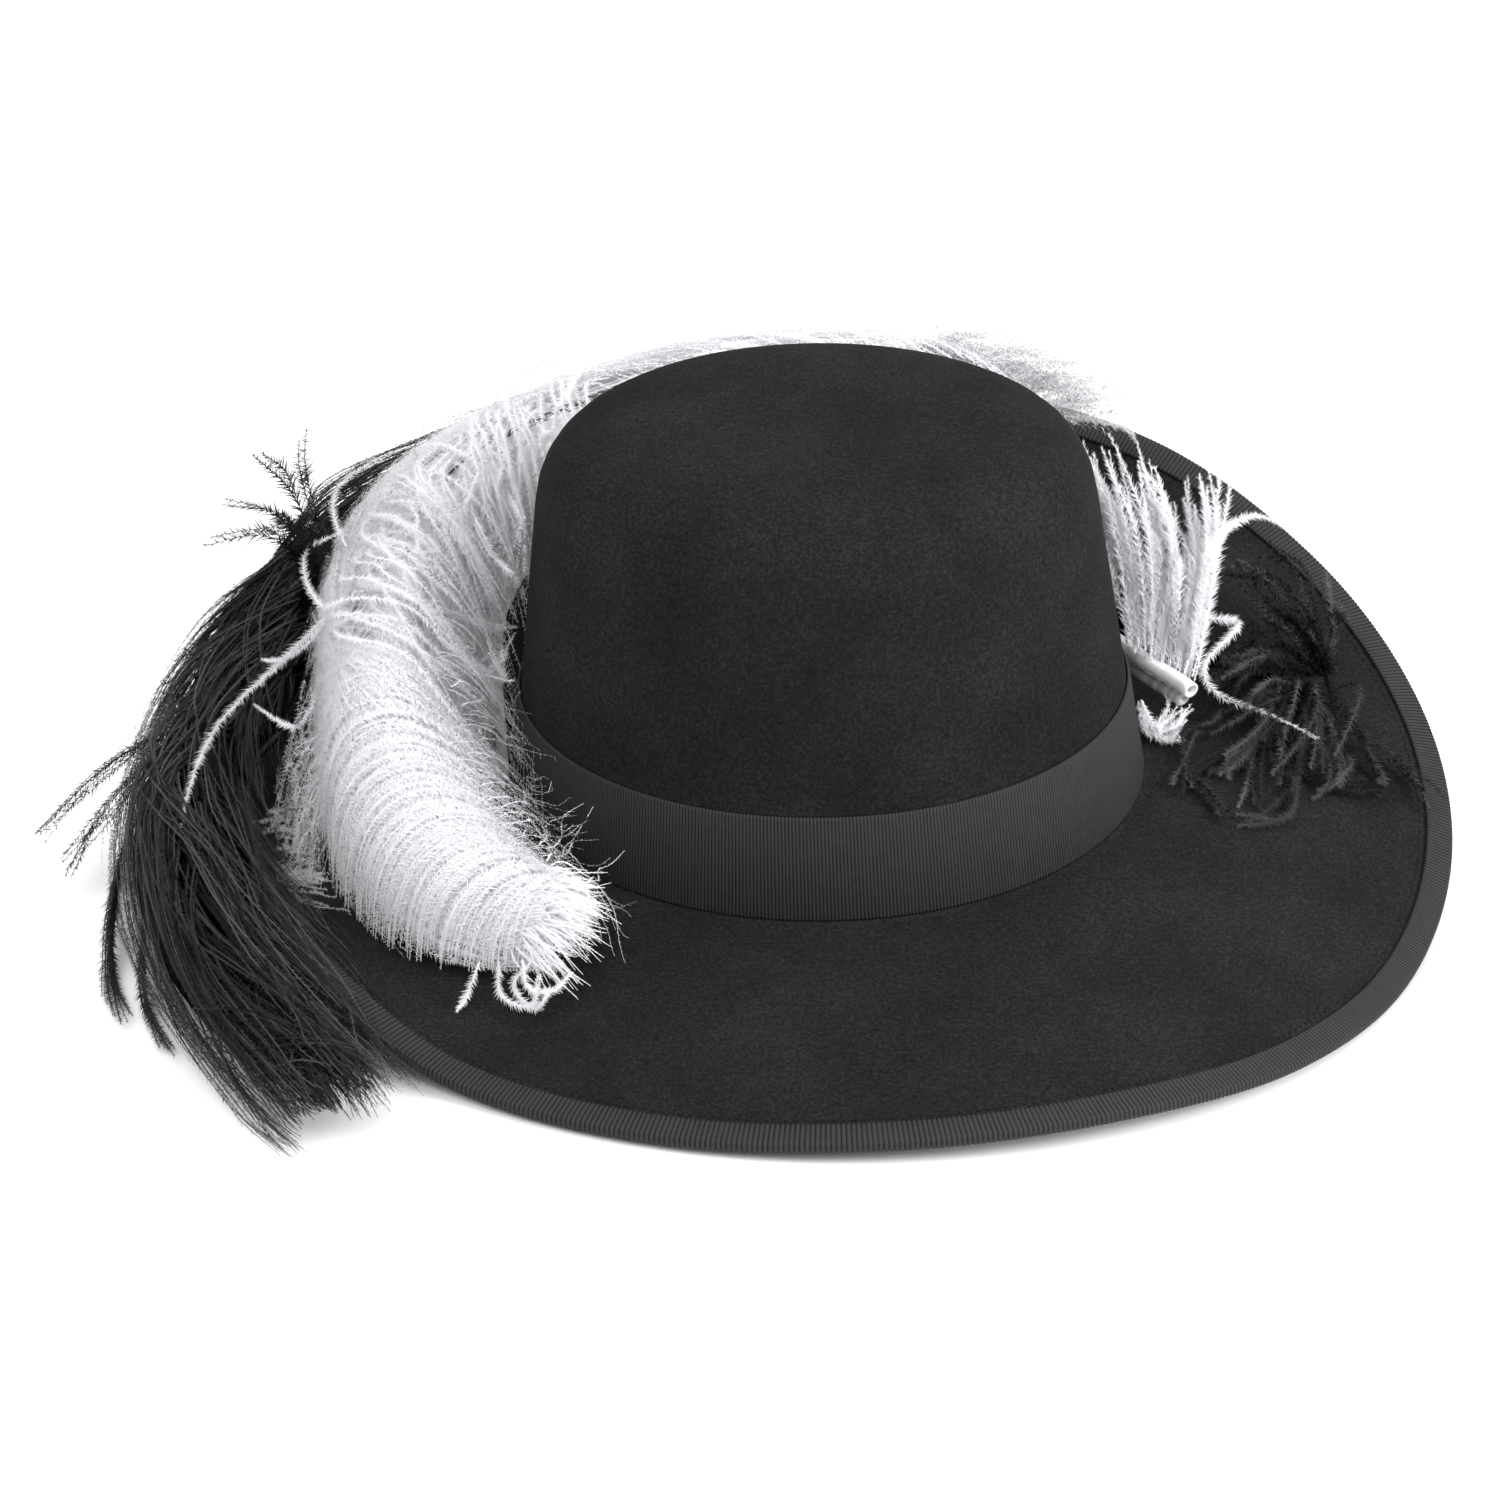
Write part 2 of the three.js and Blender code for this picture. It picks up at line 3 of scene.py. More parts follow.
import bpy
import mathutils
import numpy as np
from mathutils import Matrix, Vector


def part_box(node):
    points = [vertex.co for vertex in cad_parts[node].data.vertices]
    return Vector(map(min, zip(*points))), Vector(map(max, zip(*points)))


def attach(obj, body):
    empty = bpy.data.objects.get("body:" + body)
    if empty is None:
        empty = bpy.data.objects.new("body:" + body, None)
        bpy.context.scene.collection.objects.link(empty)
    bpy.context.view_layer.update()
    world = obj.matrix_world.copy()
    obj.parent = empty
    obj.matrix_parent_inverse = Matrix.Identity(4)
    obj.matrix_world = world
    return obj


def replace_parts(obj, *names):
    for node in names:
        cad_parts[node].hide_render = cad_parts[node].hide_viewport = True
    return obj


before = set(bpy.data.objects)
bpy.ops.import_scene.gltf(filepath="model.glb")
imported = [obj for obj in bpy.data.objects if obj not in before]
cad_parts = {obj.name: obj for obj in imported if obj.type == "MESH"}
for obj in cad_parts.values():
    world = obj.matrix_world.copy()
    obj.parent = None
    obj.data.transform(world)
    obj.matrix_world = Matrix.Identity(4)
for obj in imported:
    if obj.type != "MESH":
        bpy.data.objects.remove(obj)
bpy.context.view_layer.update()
rng = np.random.default_rng(58)

# Cavalier hat. Metres and degrees. The hat is worked out upright about its crown axis, front towards +X,
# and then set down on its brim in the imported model's place.
head = dict(length=0.2014, width=0.167, wall=0.002)
crown = dict(height=0.1313, lean=0.136, cornerInset=0.0385, cornerRise=0.0293, cornerPower=2.6)
brim = dict(width=0.1043, sweep=1.65)
ribbon = dict(bandHeight=0.0356, bindingWidth=0.008, thickness=0.001, gap=0.0003)
rest = dict(angles=(-18.0, -97.0, 148.0), facets=56)

brimSlopes = dict(
    angle=np.arange(-180.0, 161.0, 20.0),
    slope=[-9.5, -3, 7.5, -1.5, -3, -3, -5.5, -12.5, -18, -15, -7.5, 4, 17, 21.5, 14.5, -2, -17.5, -15],
)

# Sections of the plumes as shares of the brim's width (reach) and of the crown's height (lift).
whitePlume = dict(
    angle=[52, 62, 80, 100, 118, 133, 148, 162, 178, 193, 206, 218, 229, 237, 243, 247],
    outerReach=[0.3, 0.42, 0.5, 0.52, 0.54, 0.69, 0.81, 0.73, 0.61, 0.58, 0.62, 0.69, 0.68, 0.58, 0.46, 0.42],
    outerLift=[0.22, 0.4, 0.46, 0.5, 0.52, 0.46, 0.36, 0.24, 0.13, 0.09, 0.09, 0.09, 0.08, 0.07, 0.05, 0.01],
    crestReach=[0.16, 0.22, 0.25, 0.24, 0.2, 0.22, 0.26, 0.3, 0.32, 0.36, 0.43, 0.5, 0.52, 0.46, 0.37, 0.36],
    crestLift=[0.34, 0.6, 0.69, 0.7, 0.71, 0.68, 0.65, 0.61, 0.56, 0.51, 0.45, 0.38, 0.3, 0.22, 0.14, 0.02],
    innerReach=[0.075, 0.075, 0.075, 0.08, 0.08, 0.07, 0.05, 0.04, 0.03, 0.04, 0.09, 0.15, 0.22, 0.3, 0.34,
                0.35],
    innerLift=[0.14, 0.15, 0.18, 0.24, 0.34, 0.4, 0.36, 0.3, 0.24, 0.2, 0.16, 0.12, 0.09, 0.08, 0.05, 0.01],
)
blackPlume = dict(
    angle=[52, 64, 84, 104, 122, 138, 153, 168, 182, 196, 209, 221, 232, 243],
    outerReach=[0.34, 0.6, 0.8, 0.92, 0.98, 1.04, 1.04, 1.06, 1.12, 1.22, 1.28, 1.34, 1.42, 1.52],
    outerLift=[0.08, 0.17, 0.3, 0.34, 0.33, 0.29, 0.25, 0.15, 0.04, -0.03, -0.02, 0.01, 0.03, 0.05],
    crestReach=[0.26, 0.4, 0.5, 0.55, 0.62, 0.72, 0.86, 0.94, 1, 1.08, 1.14, 1.22, 1.3, 1.42],
    crestLift=[0.11, 0.22, 0.33, 0.38, 0.36, 0.27, 0.17, 0.15, 0.17, 0.2, 0.2, 0.16, 0.13, 0.11],
    innerReach=[0.19, 0.2, 0.22, 0.25, 0.28, 0.38, 0.5, 0.6, 0.74, 0.78, 0.82, 0.9, 1.02, 1.22],
    innerLift=[0.08, 0.1, 0.13, 0.16, 0.16, 0.1, 0.04, 0.02, 0.05, 0.07, 0.1, 0.12, 0.07, 0.05],
)
whiteShaft = dict(
    angle=[12, 24, 43, 62, 80, 100],
    reach=[0.18, 0.09, 0.075, 0.075, 0.075, 0.08],
    lift=[0.13, 0.14, 0.135, 0.15, 0.18, 0.24],
)
blackShaft = dict(
    angle=[21, 26, 33, 43, 64, 84, 104],
    reach=[0.69, 0.45, 0.28, 0.19, 0.2, 0.22, 0.25],
    lift=[-0.02, 0.02, 0.06, 0.075, 0.1, 0.13, 0.16],
)

ovalLength = head["length"] / 2 + head["wall"]
ovalWidth = head["width"] / 2 + head["wall"]


# Cubic between a table's rows, its slopes taken across each row from the neighbours on both sides.
def column(table, name, angle):
    at, value = np.asarray(table["angle"], float), np.asarray(table[name], float)
    last = len(at) - 1
    before, after = np.maximum(np.arange(last + 1) - 1, 0), np.minimum(np.arange(last + 1) + 1, last)
    slope = (value[after] - value[before]) / (at[after] - at[before])
    i = np.clip(np.searchsorted(at, angle, side="right") - 1, 0, last - 1)
    span = at[i + 1] - at[i]
    t = np.clip((angle - at[i]) / span, 0, 1)
    u, v = t * t * (3 - 2 * t), t * (1 - t)
    return value[i] * (1 - u) + value[i + 1] * u + span * v * (slope[i] * (1 - t) - slope[i + 1] * t)


slopesAllRound = dict(
    angle=np.concatenate([brimSlopes["angle"] + turn for turn in (-360, 0, 360)]),
    slope=np.tile(brimSlopes["slope"], 3),
)


# Place round the head: an oval grown by the reach, at a height.
def place(angle, reach, height):
    a = np.radians(angle)
    return np.stack(np.broadcast_arrays(
        (ovalLength + reach) * np.cos(a), (ovalWidth + reach) * np.sin(a), height), axis=-1)


# Brim: reach is share times the width and the slope's cosine, height is its sine times share to the power of
# sweep. Up moves square to the top face, past moves on along it.
def onBrim(angle, share, up=0.0, past=0.0):
    slope = np.radians(column(slopesAllRound, "slope", angle))
    tilt = np.arctan(np.tan(slope) * brim["sweep"] * share ** (brim["sweep"] - 1))
    reach = brim["width"] * share * np.cos(slope) - up * np.sin(tilt) + past * np.cos(tilt)
    height = brim["width"] * np.sin(slope) * share ** brim["sweep"] + up * np.cos(tilt) + past * np.sin(tilt)
    return reach, height


# Crown side: reach shrinks in proportion to height. Out moves it outwards.
def onSide(height, out=0.0):
    return out - crown["lean"] * height, height


# Crown corner: a superellipse quarter, turn from 0 at the side to 90 on the flat top.
def onCorner(turn, out=0.0):
    c, s = np.cos(np.radians(turn)), np.sin(np.radians(turn))
    inset = crown["cornerInset"] * (1 - np.abs(c) ** (2 / crown["cornerPower"]))
    height = crown["height"] - crown["cornerRise"] * (1 - s ** (2 / crown["cornerPower"]))
    return -crown["lean"] * height - inset + out * c, height + out * s


# The plane through the binding's underside at the three rest angles gives the hat's tilt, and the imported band
# gives its place.
def restPlace():
    sole = -head["wall"] - ribbon["gap"] - ribbon["thickness"]
    a, b, c = [place(angle, *onBrim(angle, 1.0, sole)) for angle in rest["angles"]]
    up = np.cross(b - a, c - a)
    up = up / np.linalg.norm(up) * np.sign(up[2])
    axis = np.cross(up, (0, 0, 1))
    s, cosine = np.linalg.norm(axis), up[2]
    x, y, z = axis / s
    cross = np.array([[0, -z, y], [z, 0, -x], [-y, x, 0]])
    turn = np.eye(3) + s * cross + (1 - cosine) * cross @ cross
    around = 360 * np.arange(rest["facets"]) / rest["facets"]
    low, high = ribbon["gap"], ribbon["gap"] + ribbon["bandHeight"]
    outs = (ribbon["gap"], ribbon["gap"] + ribbon["thickness"])
    corners = np.concatenate([place(around, *onSide(h, o)) for h in (low, high) for o in outs]) @ turn.T
    shift = np.array(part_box("hat_band")[0]) - corners.min(axis=0)
    return turn, shift


restTurn, restShift = restPlace()


# From the upright hat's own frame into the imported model's.
def setDown(points):
    return points @ restTurn.T + restShift


# Height of the floor in the upright hat's own frame: where the set-down height is nought.
def floorBelow(points):
    down = restShift[2] + restTurn[2, 0] * points[..., 0] + restTurn[2, 1] * points[..., 1]
    return -down / restTurn[2, 2]


# One mesh object at the origin, riding on the root. Faces is one array of corners, or several where
# the number of sides differs.
def newPiece(name, points, faces, material, normals=None):
    groups = faces if isinstance(faces, list) else [faces]
    corners = np.concatenate([group.ravel() for group in groups]).astype(np.int32)
    sides = np.concatenate([np.full(len(group), group.shape[1]) for group in groups])
    mesh = bpy.data.meshes.new(name)
    mesh.vertices.add(len(points))
    mesh.vertices.foreach_set("co", np.asarray(points, np.float32).ravel())
    mesh.loops.add(len(corners))
    mesh.loops.foreach_set("vertex_index", corners)
    mesh.polygons.add(len(sides))
    mesh.polygons.foreach_set("loop_start", (np.cumsum(sides) - sides).astype(np.int32))
    mesh.polygons.foreach_set("use_smooth", np.full(len(sides), True))
    mesh.update(calc_edges=True)
    mesh.materials.append(material)
    if normals is not None:
        mesh.normals_split_custom_set_from_vertices(normals)
    piece = bpy.data.objects.new(name, mesh)
    bpy.context.scene.collection.objects.link(piece)
    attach(piece, "root")
    print("piece", name, int((sides - 2).sum()), "triangles")
    return piece


# Quads over a grid of rows by columns, its rows or columns closed on themselves where asked.
def gridFaces(rows, columns, closeRows=False, closeColumns=True):
    i = np.arange(rows if closeRows else rows - 1)[:, None]
    j = np.arange(columns if closeColumns else columns - 1)[None, :]
    below, above = (i % rows) * columns, ((i + 1) % rows) * columns
    right = (j + 1) % columns
    return np.stack([below + j, below + right, above + right, above + j], axis=-1).reshape(-1, 4)


# One value on each vertex, read by a material.
def tint(piece, name, values):
    layer = piece.data.attributes.new(name, "FLOAT", "POINT")
    layer.data.foreach_set("value", np.asarray(values, np.float32).ravel())


print("stage: hat placed", restShift)


# Materials

# Material of one colour and roughness, with its nodes ready to add to.
def newMaterial(name, colour, roughness):
    material = bpy.data.materials.new(name)
    material.use_nodes = True
    nodes, links = material.node_tree.nodes, material.node_tree.links
    shader = nodes["Principled BSDF"]
    shader.inputs["Base Color"].default_value = (*colour, 1)
    shader.inputs["Roughness"].default_value = roughness
    return material, nodes, links, shader


def addNode(nodes, kind, inputs=None, **settings):
    node = nodes.new(kind)
    for name, value in settings.items():
        setattr(node, name, value)
    for name, value in (inputs or {}).items():
        node.inputs[name].default_value = value
    return node


# Noise over the object's own coordinates.
def noiseOn(nodes, links, scale, detail=3.0, rough=0.55):
    coordinates = addNode(nodes, "ShaderNodeTexCoord")
    noise = addNode(nodes, "ShaderNodeTexNoise", {"Scale": scale, "Detail": detail, "Roughness": rough})
    links.new(coordinates.outputs["Object"], noise.inputs["Vector"])
    return noise.outputs["Fac"]


# Colour ramp over a field, its stops as pairs of place and colour.
def ramp(nodes, links, source, stops):
    node = addNode(nodes, "ShaderNodeValToRGB")
    while len(node.color_ramp.elements) < len(stops):
        node.color_ramp.elements.new(0.5)
    for element, (at, colour) in zip(node.color_ramp.elements, stops):
        element.position, element.color = at, (*colour, 1)
    links.new(source, node.inputs["Fac"])
    return node.outputs["Color"]


# One field times a share, added to another field.
def addShare(nodes, links, field, share, other):
    node = addNode(nodes, "ShaderNodeMath", operation="MULTIPLY_ADD")
    node.inputs[1].default_value = share
    links.new(field, node.inputs[0])
    links.new(other, node.inputs[2])
    return node.outputs[0]


# Bump of the shading normal by a height field.
def addBump(nodes, links, height, look):
    bump = addNode(nodes, "ShaderNodeBump", {"Strength": look["bump"], "Distance": look["bumpDepth"]})
    links.new(height, bump.inputs["Height"])
    links.new(bump.outputs["Normal"], nodes["Principled BSDF"].inputs["Normal"])


# Cloth's dull gloss: a weak highlight and a faint sheen.
def setGloss(shader, look):
    shader.inputs["Specular IOR Level"].default_value = look["specular"]
    shader.inputs["Sheen Weight"].default_value = look["sheen"]
    shader.inputs["Sheen Roughness"].default_value = look["sheenRoughness"]


feltLook = dict(
    dark=(0.0055, 0.0055, 0.0056), mid=(0.0105, 0.0105, 0.0107), light=(0.022, 0.022, 0.0224),
    darkAt=0.45, midAt=0.66, lightAt=0.9, roughness=0.95, specular=0.04, sheen=0.005, sheenRoughness=0.6,
    flock=900.0, flockDetail=4.0, flockRough=0.7, cloud=28.0, cloudShare=0.35, fibre=2300.0, fibreDetail=2.0,
    fibreShare=0.5, bump=0.35, bumpDepth=0.0005,
)


# Felt: fine flock over broad clouds for the colour, and flock with a finer fibre for the bump.
def feltMaterial(look):
    material, nodes, links, shader = newMaterial("blackFelt", look["mid"], look["roughness"])
    setGloss(shader, look)
    flock = noiseOn(nodes, links, look["flock"], look["flockDetail"], look["flockRough"])
    cloud = noiseOn(nodes, links, look["cloud"])
    fibre = noiseOn(nodes, links, look["fibre"], look["fibreDetail"])
    blend = addShare(nodes, links, cloud, look["cloudShare"], flock)
    stops = [(look["darkAt"], look["dark"]), (look["midAt"], look["mid"]), (look["lightAt"], look["light"])]
    links.new(ramp(nodes, links, blend, stops), shader.inputs["Base Color"])
    addBump(nodes, links, addShare(nodes, links, fibre, look["fibreShare"], flock), look)
    return material


# Dark is the painted shade in the rib grooves, light the ribbon's own colour on the ridges.
ribbonLook = dict(
    dark=(0.003, 0.003, 0.0031), light=(0.029, 0.029, 0.0295), darkAt=0.15, lightAt=0.9, mottleShare=0.35,
    roughness=0.62, specular=0.1, sheen=0.005, sheenRoughness=0.5, thread=2600.0, threadDetail=2.0,
    mottle=160.0, bump=0.25, bumpDepth=0.0002,
)


# Ribbon: the ribs are modelled; painted shade darkens the grooves' colour, and a fine thread noise breaks the
# gloss.
def ribbonMaterial(look):
    material, nodes, links, shader = newMaterial("blackRibbon", look["light"], look["roughness"])
    setGloss(shader, look)
    # The rib attribute is the mask of painted shade: 0 in a groove, 1 on a ridge.
    rib = addNode(nodes, "ShaderNodeAttribute", attribute_name="rib")
    mottle = noiseOn(nodes, links, look["mottle"])
    mix = addShare(nodes, links, mottle, look["mottleShare"], rib.outputs["Fac"])
    stops = [(look["darkAt"], look["dark"]), (look["lightAt"], look["light"])]
    links.new(ramp(nodes, links, mix, stops), shader.inputs["Base Color"])
    addBump(nodes, links, noiseOn(nodes, links, look["thread"], look["threadDetail"]), look)
    return material


# Grey with a trace of blue.
def grey(value):
    return (value, value, value * 1.01)


whiteTones, blackTones = (0.94, 0.98, 1.0), (0.04, 0.25, 1.0)

# Root and tip are greys: a darker root is painted shade deep in the plume and a lighter tip painted highlight,
# most of all on the black barbs. Tones are a strand's own shade, from the darkest strand to the lightest.
barbLooks = dict(
    whiteBarb=dict(root=0.92, tip=0.95, tones=whiteTones, roughness=0.75, specular=0.2, through=0.4),
    whiteDown=dict(root=0.9, tip=0.9, tones=whiteTones, roughness=0.9, specular=0.1, through=0.2),
    # A greyer copy of the white barbs: painted shade for the haze of strands behind the crown.
    shadedHazeBarb=dict(root=0.8, tip=0.88, tones=whiteTones, roughness=0.9, specular=0.05, through=0),
    # A greyer copy of the white barbs: painted shade for the inner wall in the crown's shadow.
    shadedWallBarb=dict(root=0.84, tip=0.9, tones=whiteTones, roughness=0.8, specular=0.2, through=0.3),
    blackBarb=dict(root=0.005, tip=0.08, tones=blackTones, roughness=0.4, specular=0.14, through=0),
    softBlack=dict(root=0.015, tip=0.09, tones=blackTones, roughness=0.6, specular=0.15, through=0),
    blackDown=dict(root=0.003, tip=0.003, tones=blackTones, roughness=0.9, specular=0.02, through=0),
    # On a quill the root colour is painted shade inside its bore, and the tip colour is the quill's own.
    ivoryQuill=dict(root=0.1, tip=0.75, tones=(0.85, 0.92, 1.0), roughness=0.25, specular=0.5, through=0),
    hornQuill=dict(root=0.06, tip=0.36, tones=(0.4, 0.8, 1.0), roughness=0.35, specular=0.5, through=0),
)
midTone = 0.6
downBump = dict(scale=420.0, detail=4.0, rough=0.7, bump=0.7, bumpDepth=0.002)


# Barbs: the colour runs from root to tip along the strand attribute, a darker root as painted shade and, on
# the barbs, a lighter tip as painted highlight, times each strand's own tone. Through is the share of light
# that a thin barb lets through.
def barbMaterial(name, look):
    material, nodes, links, shader = newMaterial(name, grey(look["tip"]), look["roughness"])
    shader.inputs["Specular IOR Level"].default_value = look["specular"]
    strand = addNode(nodes, "ShaderNodeAttribute", attribute_name="strand")
    tone = addNode(nodes, "ShaderNodeAttribute", attribute_name="tone")
    along = ramp(nodes, links, strand.outputs["Fac"], [(0.0, grey(look["root"])), (1.0, grey(look["tip"]))])
    shades = list(zip((0.0, midTone, 1.0), map(grey, look["tones"])))
    mix = addNode(nodes, "ShaderNodeMix", data_type="RGBA", blend_type="MULTIPLY")
    mix.inputs[0].default_value = 1
    links.new(along, mix.inputs[6])
    links.new(ramp(nodes, links, tone.outputs["Fac"], shades), mix.inputs[7])
    links.new(mix.outputs[2], shader.inputs["Base Color"])
    if look["through"]:
        thin = addNode(nodes, "ShaderNodeBsdfTranslucent")
        links.new(mix.outputs[2], thin.inputs["Color"])
        blend = addNode(nodes, "ShaderNodeMixShader", {"Fac": look["through"]})
        links.new(shader.outputs["BSDF"], blend.inputs[1])
        links.new(thin.outputs["BSDF"], blend.inputs[2])
        links.new(blend.outputs["Shader"], nodes["Material Output"].inputs["Surface"])
    return material


# Down: a soft bump of fine noise over a core's surface.
def addDown(material, look):
    nodes, links = material.node_tree.nodes, material.node_tree.links
    addBump(nodes, links, noiseOn(nodes, links, look["scale"], look["detail"], look["rough"]), look)


felt = feltMaterial(feltLook)
blackRibbon = ribbonMaterial(ribbonLook)
barbs = {name: barbMaterial(name, look) for name, look in barbLooks.items()}
addDown(barbs["whiteDown"], downBump)
print("stage: materials")


# Felt body

feltGrid = dict(columns=288, brimRows=24, sideRows=7, cornerRows=10, topRows=3)


# Profile of the felt, from the rim of the crown's inner top out to the brim's edge and back over the top.
def feltProfile(angle, grid):
    wall, least = head["wall"], 1e-6
    shares = np.maximum(np.linspace(0, 1, grid["brimRows"]), least)
    heights = np.linspace(0, crown["height"] - crown["cornerRise"], grid["sideRows"])
    turns = np.linspace(0, 90, grid["cornerRows"])
    inner = [onCorner(t, -wall) for t in turns[::-1]] + [onSide(h, -wall) for h in heights[:0:-1]]
    inner += [(-wall, -wall)] + [onBrim(angle, s, -wall) for s in shares[2:]]
    edge = [onBrim(angle, 1.0, -wall / 2, wall / 3)]
    outer = [onBrim(angle, s) for s in shares[:0:-1]]
    outer += [onSide(h) for h in heights] + [onCorner(t) for t in turns[1:]]
    return inner + edge + outer


# Felt shell: rings round the profile, drawn in evenly towards the middle of both flat tops and closed there.
def makeFelt():
    columns = feltGrid["columns"]
    angle = np.linspace(0, 360, columns, endpoint=False)
    rings = [place(angle, reach, height) for reach, height in feltProfile(angle, feltGrid)]
    shrink = np.linspace(1, 0, feltGrid["topRows"] + 1)[1:-1]
    middles = [rings[0].mean(axis=0), rings[-1].mean(axis=0)]
    below = [middles[0] + (rings[0] - middles[0]) * k for k in shrink[::-1]]
    above = [middles[1] + (rings[-1] - middles[1]) * k for k in shrink]
    rings = below + rings + above
    count = len(rings) * columns
    j = np.arange(columns)
    k = (j + 1) % columns
    first = np.stack([np.full(columns, count), k, j], axis=1)
    last = np.stack([np.full(columns, count + 1), count - columns + j, count - columns + k], axis=1)
    points = np.concatenate(rings + [np.array(middles)])
    return newPiece("feltBody", setDown(points), [gridFaces(len(rings), columns), first, last], felt)


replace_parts(makeFelt(), "felt_body")
print("stage: felt")


# Ribbon band and binding

ribs = dict(bandRibs=560, bindingRibs=840, columns=3, depth=0.0003)
bandEdge = dict(selvedge=0.0008, thin=0.0004, loops=1.2)
bindingEdge = dict(thin=0.0003, firm=0.008, loose=0.6, bulge=0.72, fold=0.55, tuck=0.4)


# Rib wave: rounded ridges, the absolute sine, from 0 in a groove to 1 on a ridge.
def ribWave(count):
    angle = np.linspace(0, 360, count * ribs["columns"], endpoint=False)
    return angle, np.abs(np.sin(np.pi * count * angle / 360))


# Band: a closed section carried round the crown's side. Its outer face sinks into the grooves, and its two
# outer edges stand up a little at each rib, as a ribbon's woven loops do.
def makeBand():
    angle, wave = ribWave(ribs["bandRibs"])
    inner, outer = ribbon["gap"], ribbon["gap"] + ribbon["thickness"]
    low, high = ribbon["gap"], ribbon["gap"] + ribbon["bandHeight"]
    lip, selvedge, depth = outer - bandEdge["thin"], bandEdge["selvedge"], ribs["depth"]
    section = [(low, inner), (low, lip), (low + selvedge, outer), ((low + high) / 2, outer),
               (high - selvedge, outer), (high, lip), (high, inner)]
    rings = []
    for height, out in section:
        sink = (wave - 1) * depth * (out > inner)
        loop = np.where(height > (low + high) / 2, 1, -1) * wave * depth * bandEdge["loops"] * (out == lip)
        rings.append(place(angle, onSide(height + loop, out + sink)[0], height + loop))
    faces = gridFaces(len(rings), len(angle), closeRows=True)
    piece = newPiece("hatBand", setDown(np.concatenate(rings)), faces, blackRibbon)
    # The rib wave is also the mask of painted shade in the grooves.
    tint(piece, "rib", np.tile(wave, len(rings)))
    return piece


# Binding: a closed section folded round the brim's edge and carried round the brim.
def makeBinding():
    angle, wave = ribWave(ribs["bindingRibs"])
    near, far = ribbon["gap"], ribbon["gap"] + ribbon["thickness"]
    start, wall = 1 - ribbon["bindingWidth"] / brim["width"], head["wall"]
    firm, thin, loose = start + bindingEdge["firm"], bindingEdge["thin"], bindingEdge["loose"]
    bulge, fold, tuck = far * bindingEdge["bulge"], far * bindingEdge["fold"], near * bindingEdge["tuck"]
    section = [  # share, up, past, and how much of the rib wave the line takes
        (start, near, 0, 0), (start, far - thin, 0, loose), (firm, far, 0, 1), (1, far, tuck, 1),
        (1, fold, bulge, 1), (1, -wall / 2, far, 1), (1, -wall - fold, bulge, 1),
        (1, -wall - far, tuck, 1), (firm, -wall - far, 0, 1), (start, -wall - far + thin, 0, loose),
        (start, -wall - near, 0, 0), (1, -wall - near, near, 0), (1, near, near, 0),
    ]
    rings, ribShade, middle = [], [], -wall / 2
    for share, up, past, amount in section:
        sink = (wave - 1) * ribs["depth"] * amount
        side = np.clip((up - middle) / (far - middle), -1, 1)
        reach, height = onBrim(angle, share, up + sink * side, past + sink * (past > near))
        rings.append(place(angle, reach, height))
        ribShade.append(wave * amount)
    faces = gridFaces(len(rings), len(angle), closeRows=True)[:, ::-1]
    piece = newPiece("brimBinding", setDown(np.concatenate(rings)), faces, blackRibbon)
    # The rib wave is also the mask of painted shade in the grooves.
    tint(piece, "rib", np.concatenate(ribShade))
    return piece


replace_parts(makeBand(), "hat_band")
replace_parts(makeBinding(), "brim_binding")
print("stage: ribbon")


# Stitches

stitches = dict(count=430, length=0.0016, width=0.0004, fromEdge=0.0102, sides=6, lift=0.00005, full=0.6,
                end=0.15)


# Stitch: a low six-sided bead of thread lying along the brim just inside the binding.
def makeStitches():
    angle = np.linspace(0, 360, stitches["count"], endpoint=False)
    share, full, end = 1 - stitches["fromEdge"] / brim["width"], stitches["full"], stitches["end"]
    half = np.degrees(stitches["length"] / 2 / (ovalLength + brim["width"]))
    ahead = angle[:, None] + np.array([-1, -full, full, 1])[None] * half
    thick = np.array([end, 1, 1, end])[:, None] * stitches["width"] / 2
    turn = 2 * np.pi * np.arange(stitches["sides"])[None] / stitches["sides"]
    up, out = thick * np.sin(turn) + stitches["lift"], thick * np.cos(turn)
    around = np.broadcast_to(ahead[:, :, None], (len(angle), *up.shape))
    reach, height = onBrim(around, share + out[None] / brim["width"], np.broadcast_to(up[None], around.shape))
    one = gridFaces(*up.shape)
    faces = (one[None] + (np.arange(len(angle)) * up.size)[:, None, None]).reshape(-1, 4)
    points = setDown(place(around, reach, height).reshape(-1, 3))
    return newPiece("brimStitches", points, faces, blackRibbon)


makeStitches()


# Plumes

# Vane point: a parabola through outer edge, crest and inner edge, at side -1, 0 and 1. Up moves square to it.
def onVane(plume, angle, side, up=0.0):
    read = lambda name, scale: column(plume, name, angle) * scale
    width, height = brim["width"], crown["height"]
    outer = read("outerReach", width), read("outerLift", height)
    crest = read("crestReach", width), read("crestLift", height)
    inner = read("innerReach", width), read("innerLift", height)
    value = [c + side * (i - o) / 2 + side * side * ((i + o) / 2 - c) for o, c, i in zip(outer, crest, inner)]
    rate = [(i - o) / 2 + side * (i + o - 2 * c) for o, c, i in zip(outer, crest, inner)]
    length = np.hypot(rate[0], rate[1])
    return value[0] + up * rate[1] / length, value[1] - up * rate[0] / length


clearance = dict(barb=0.0006, wisp=0.0025, coreTop=0.002, trimFrom=0.9, pastEdge=0.002, overBand=0.001)


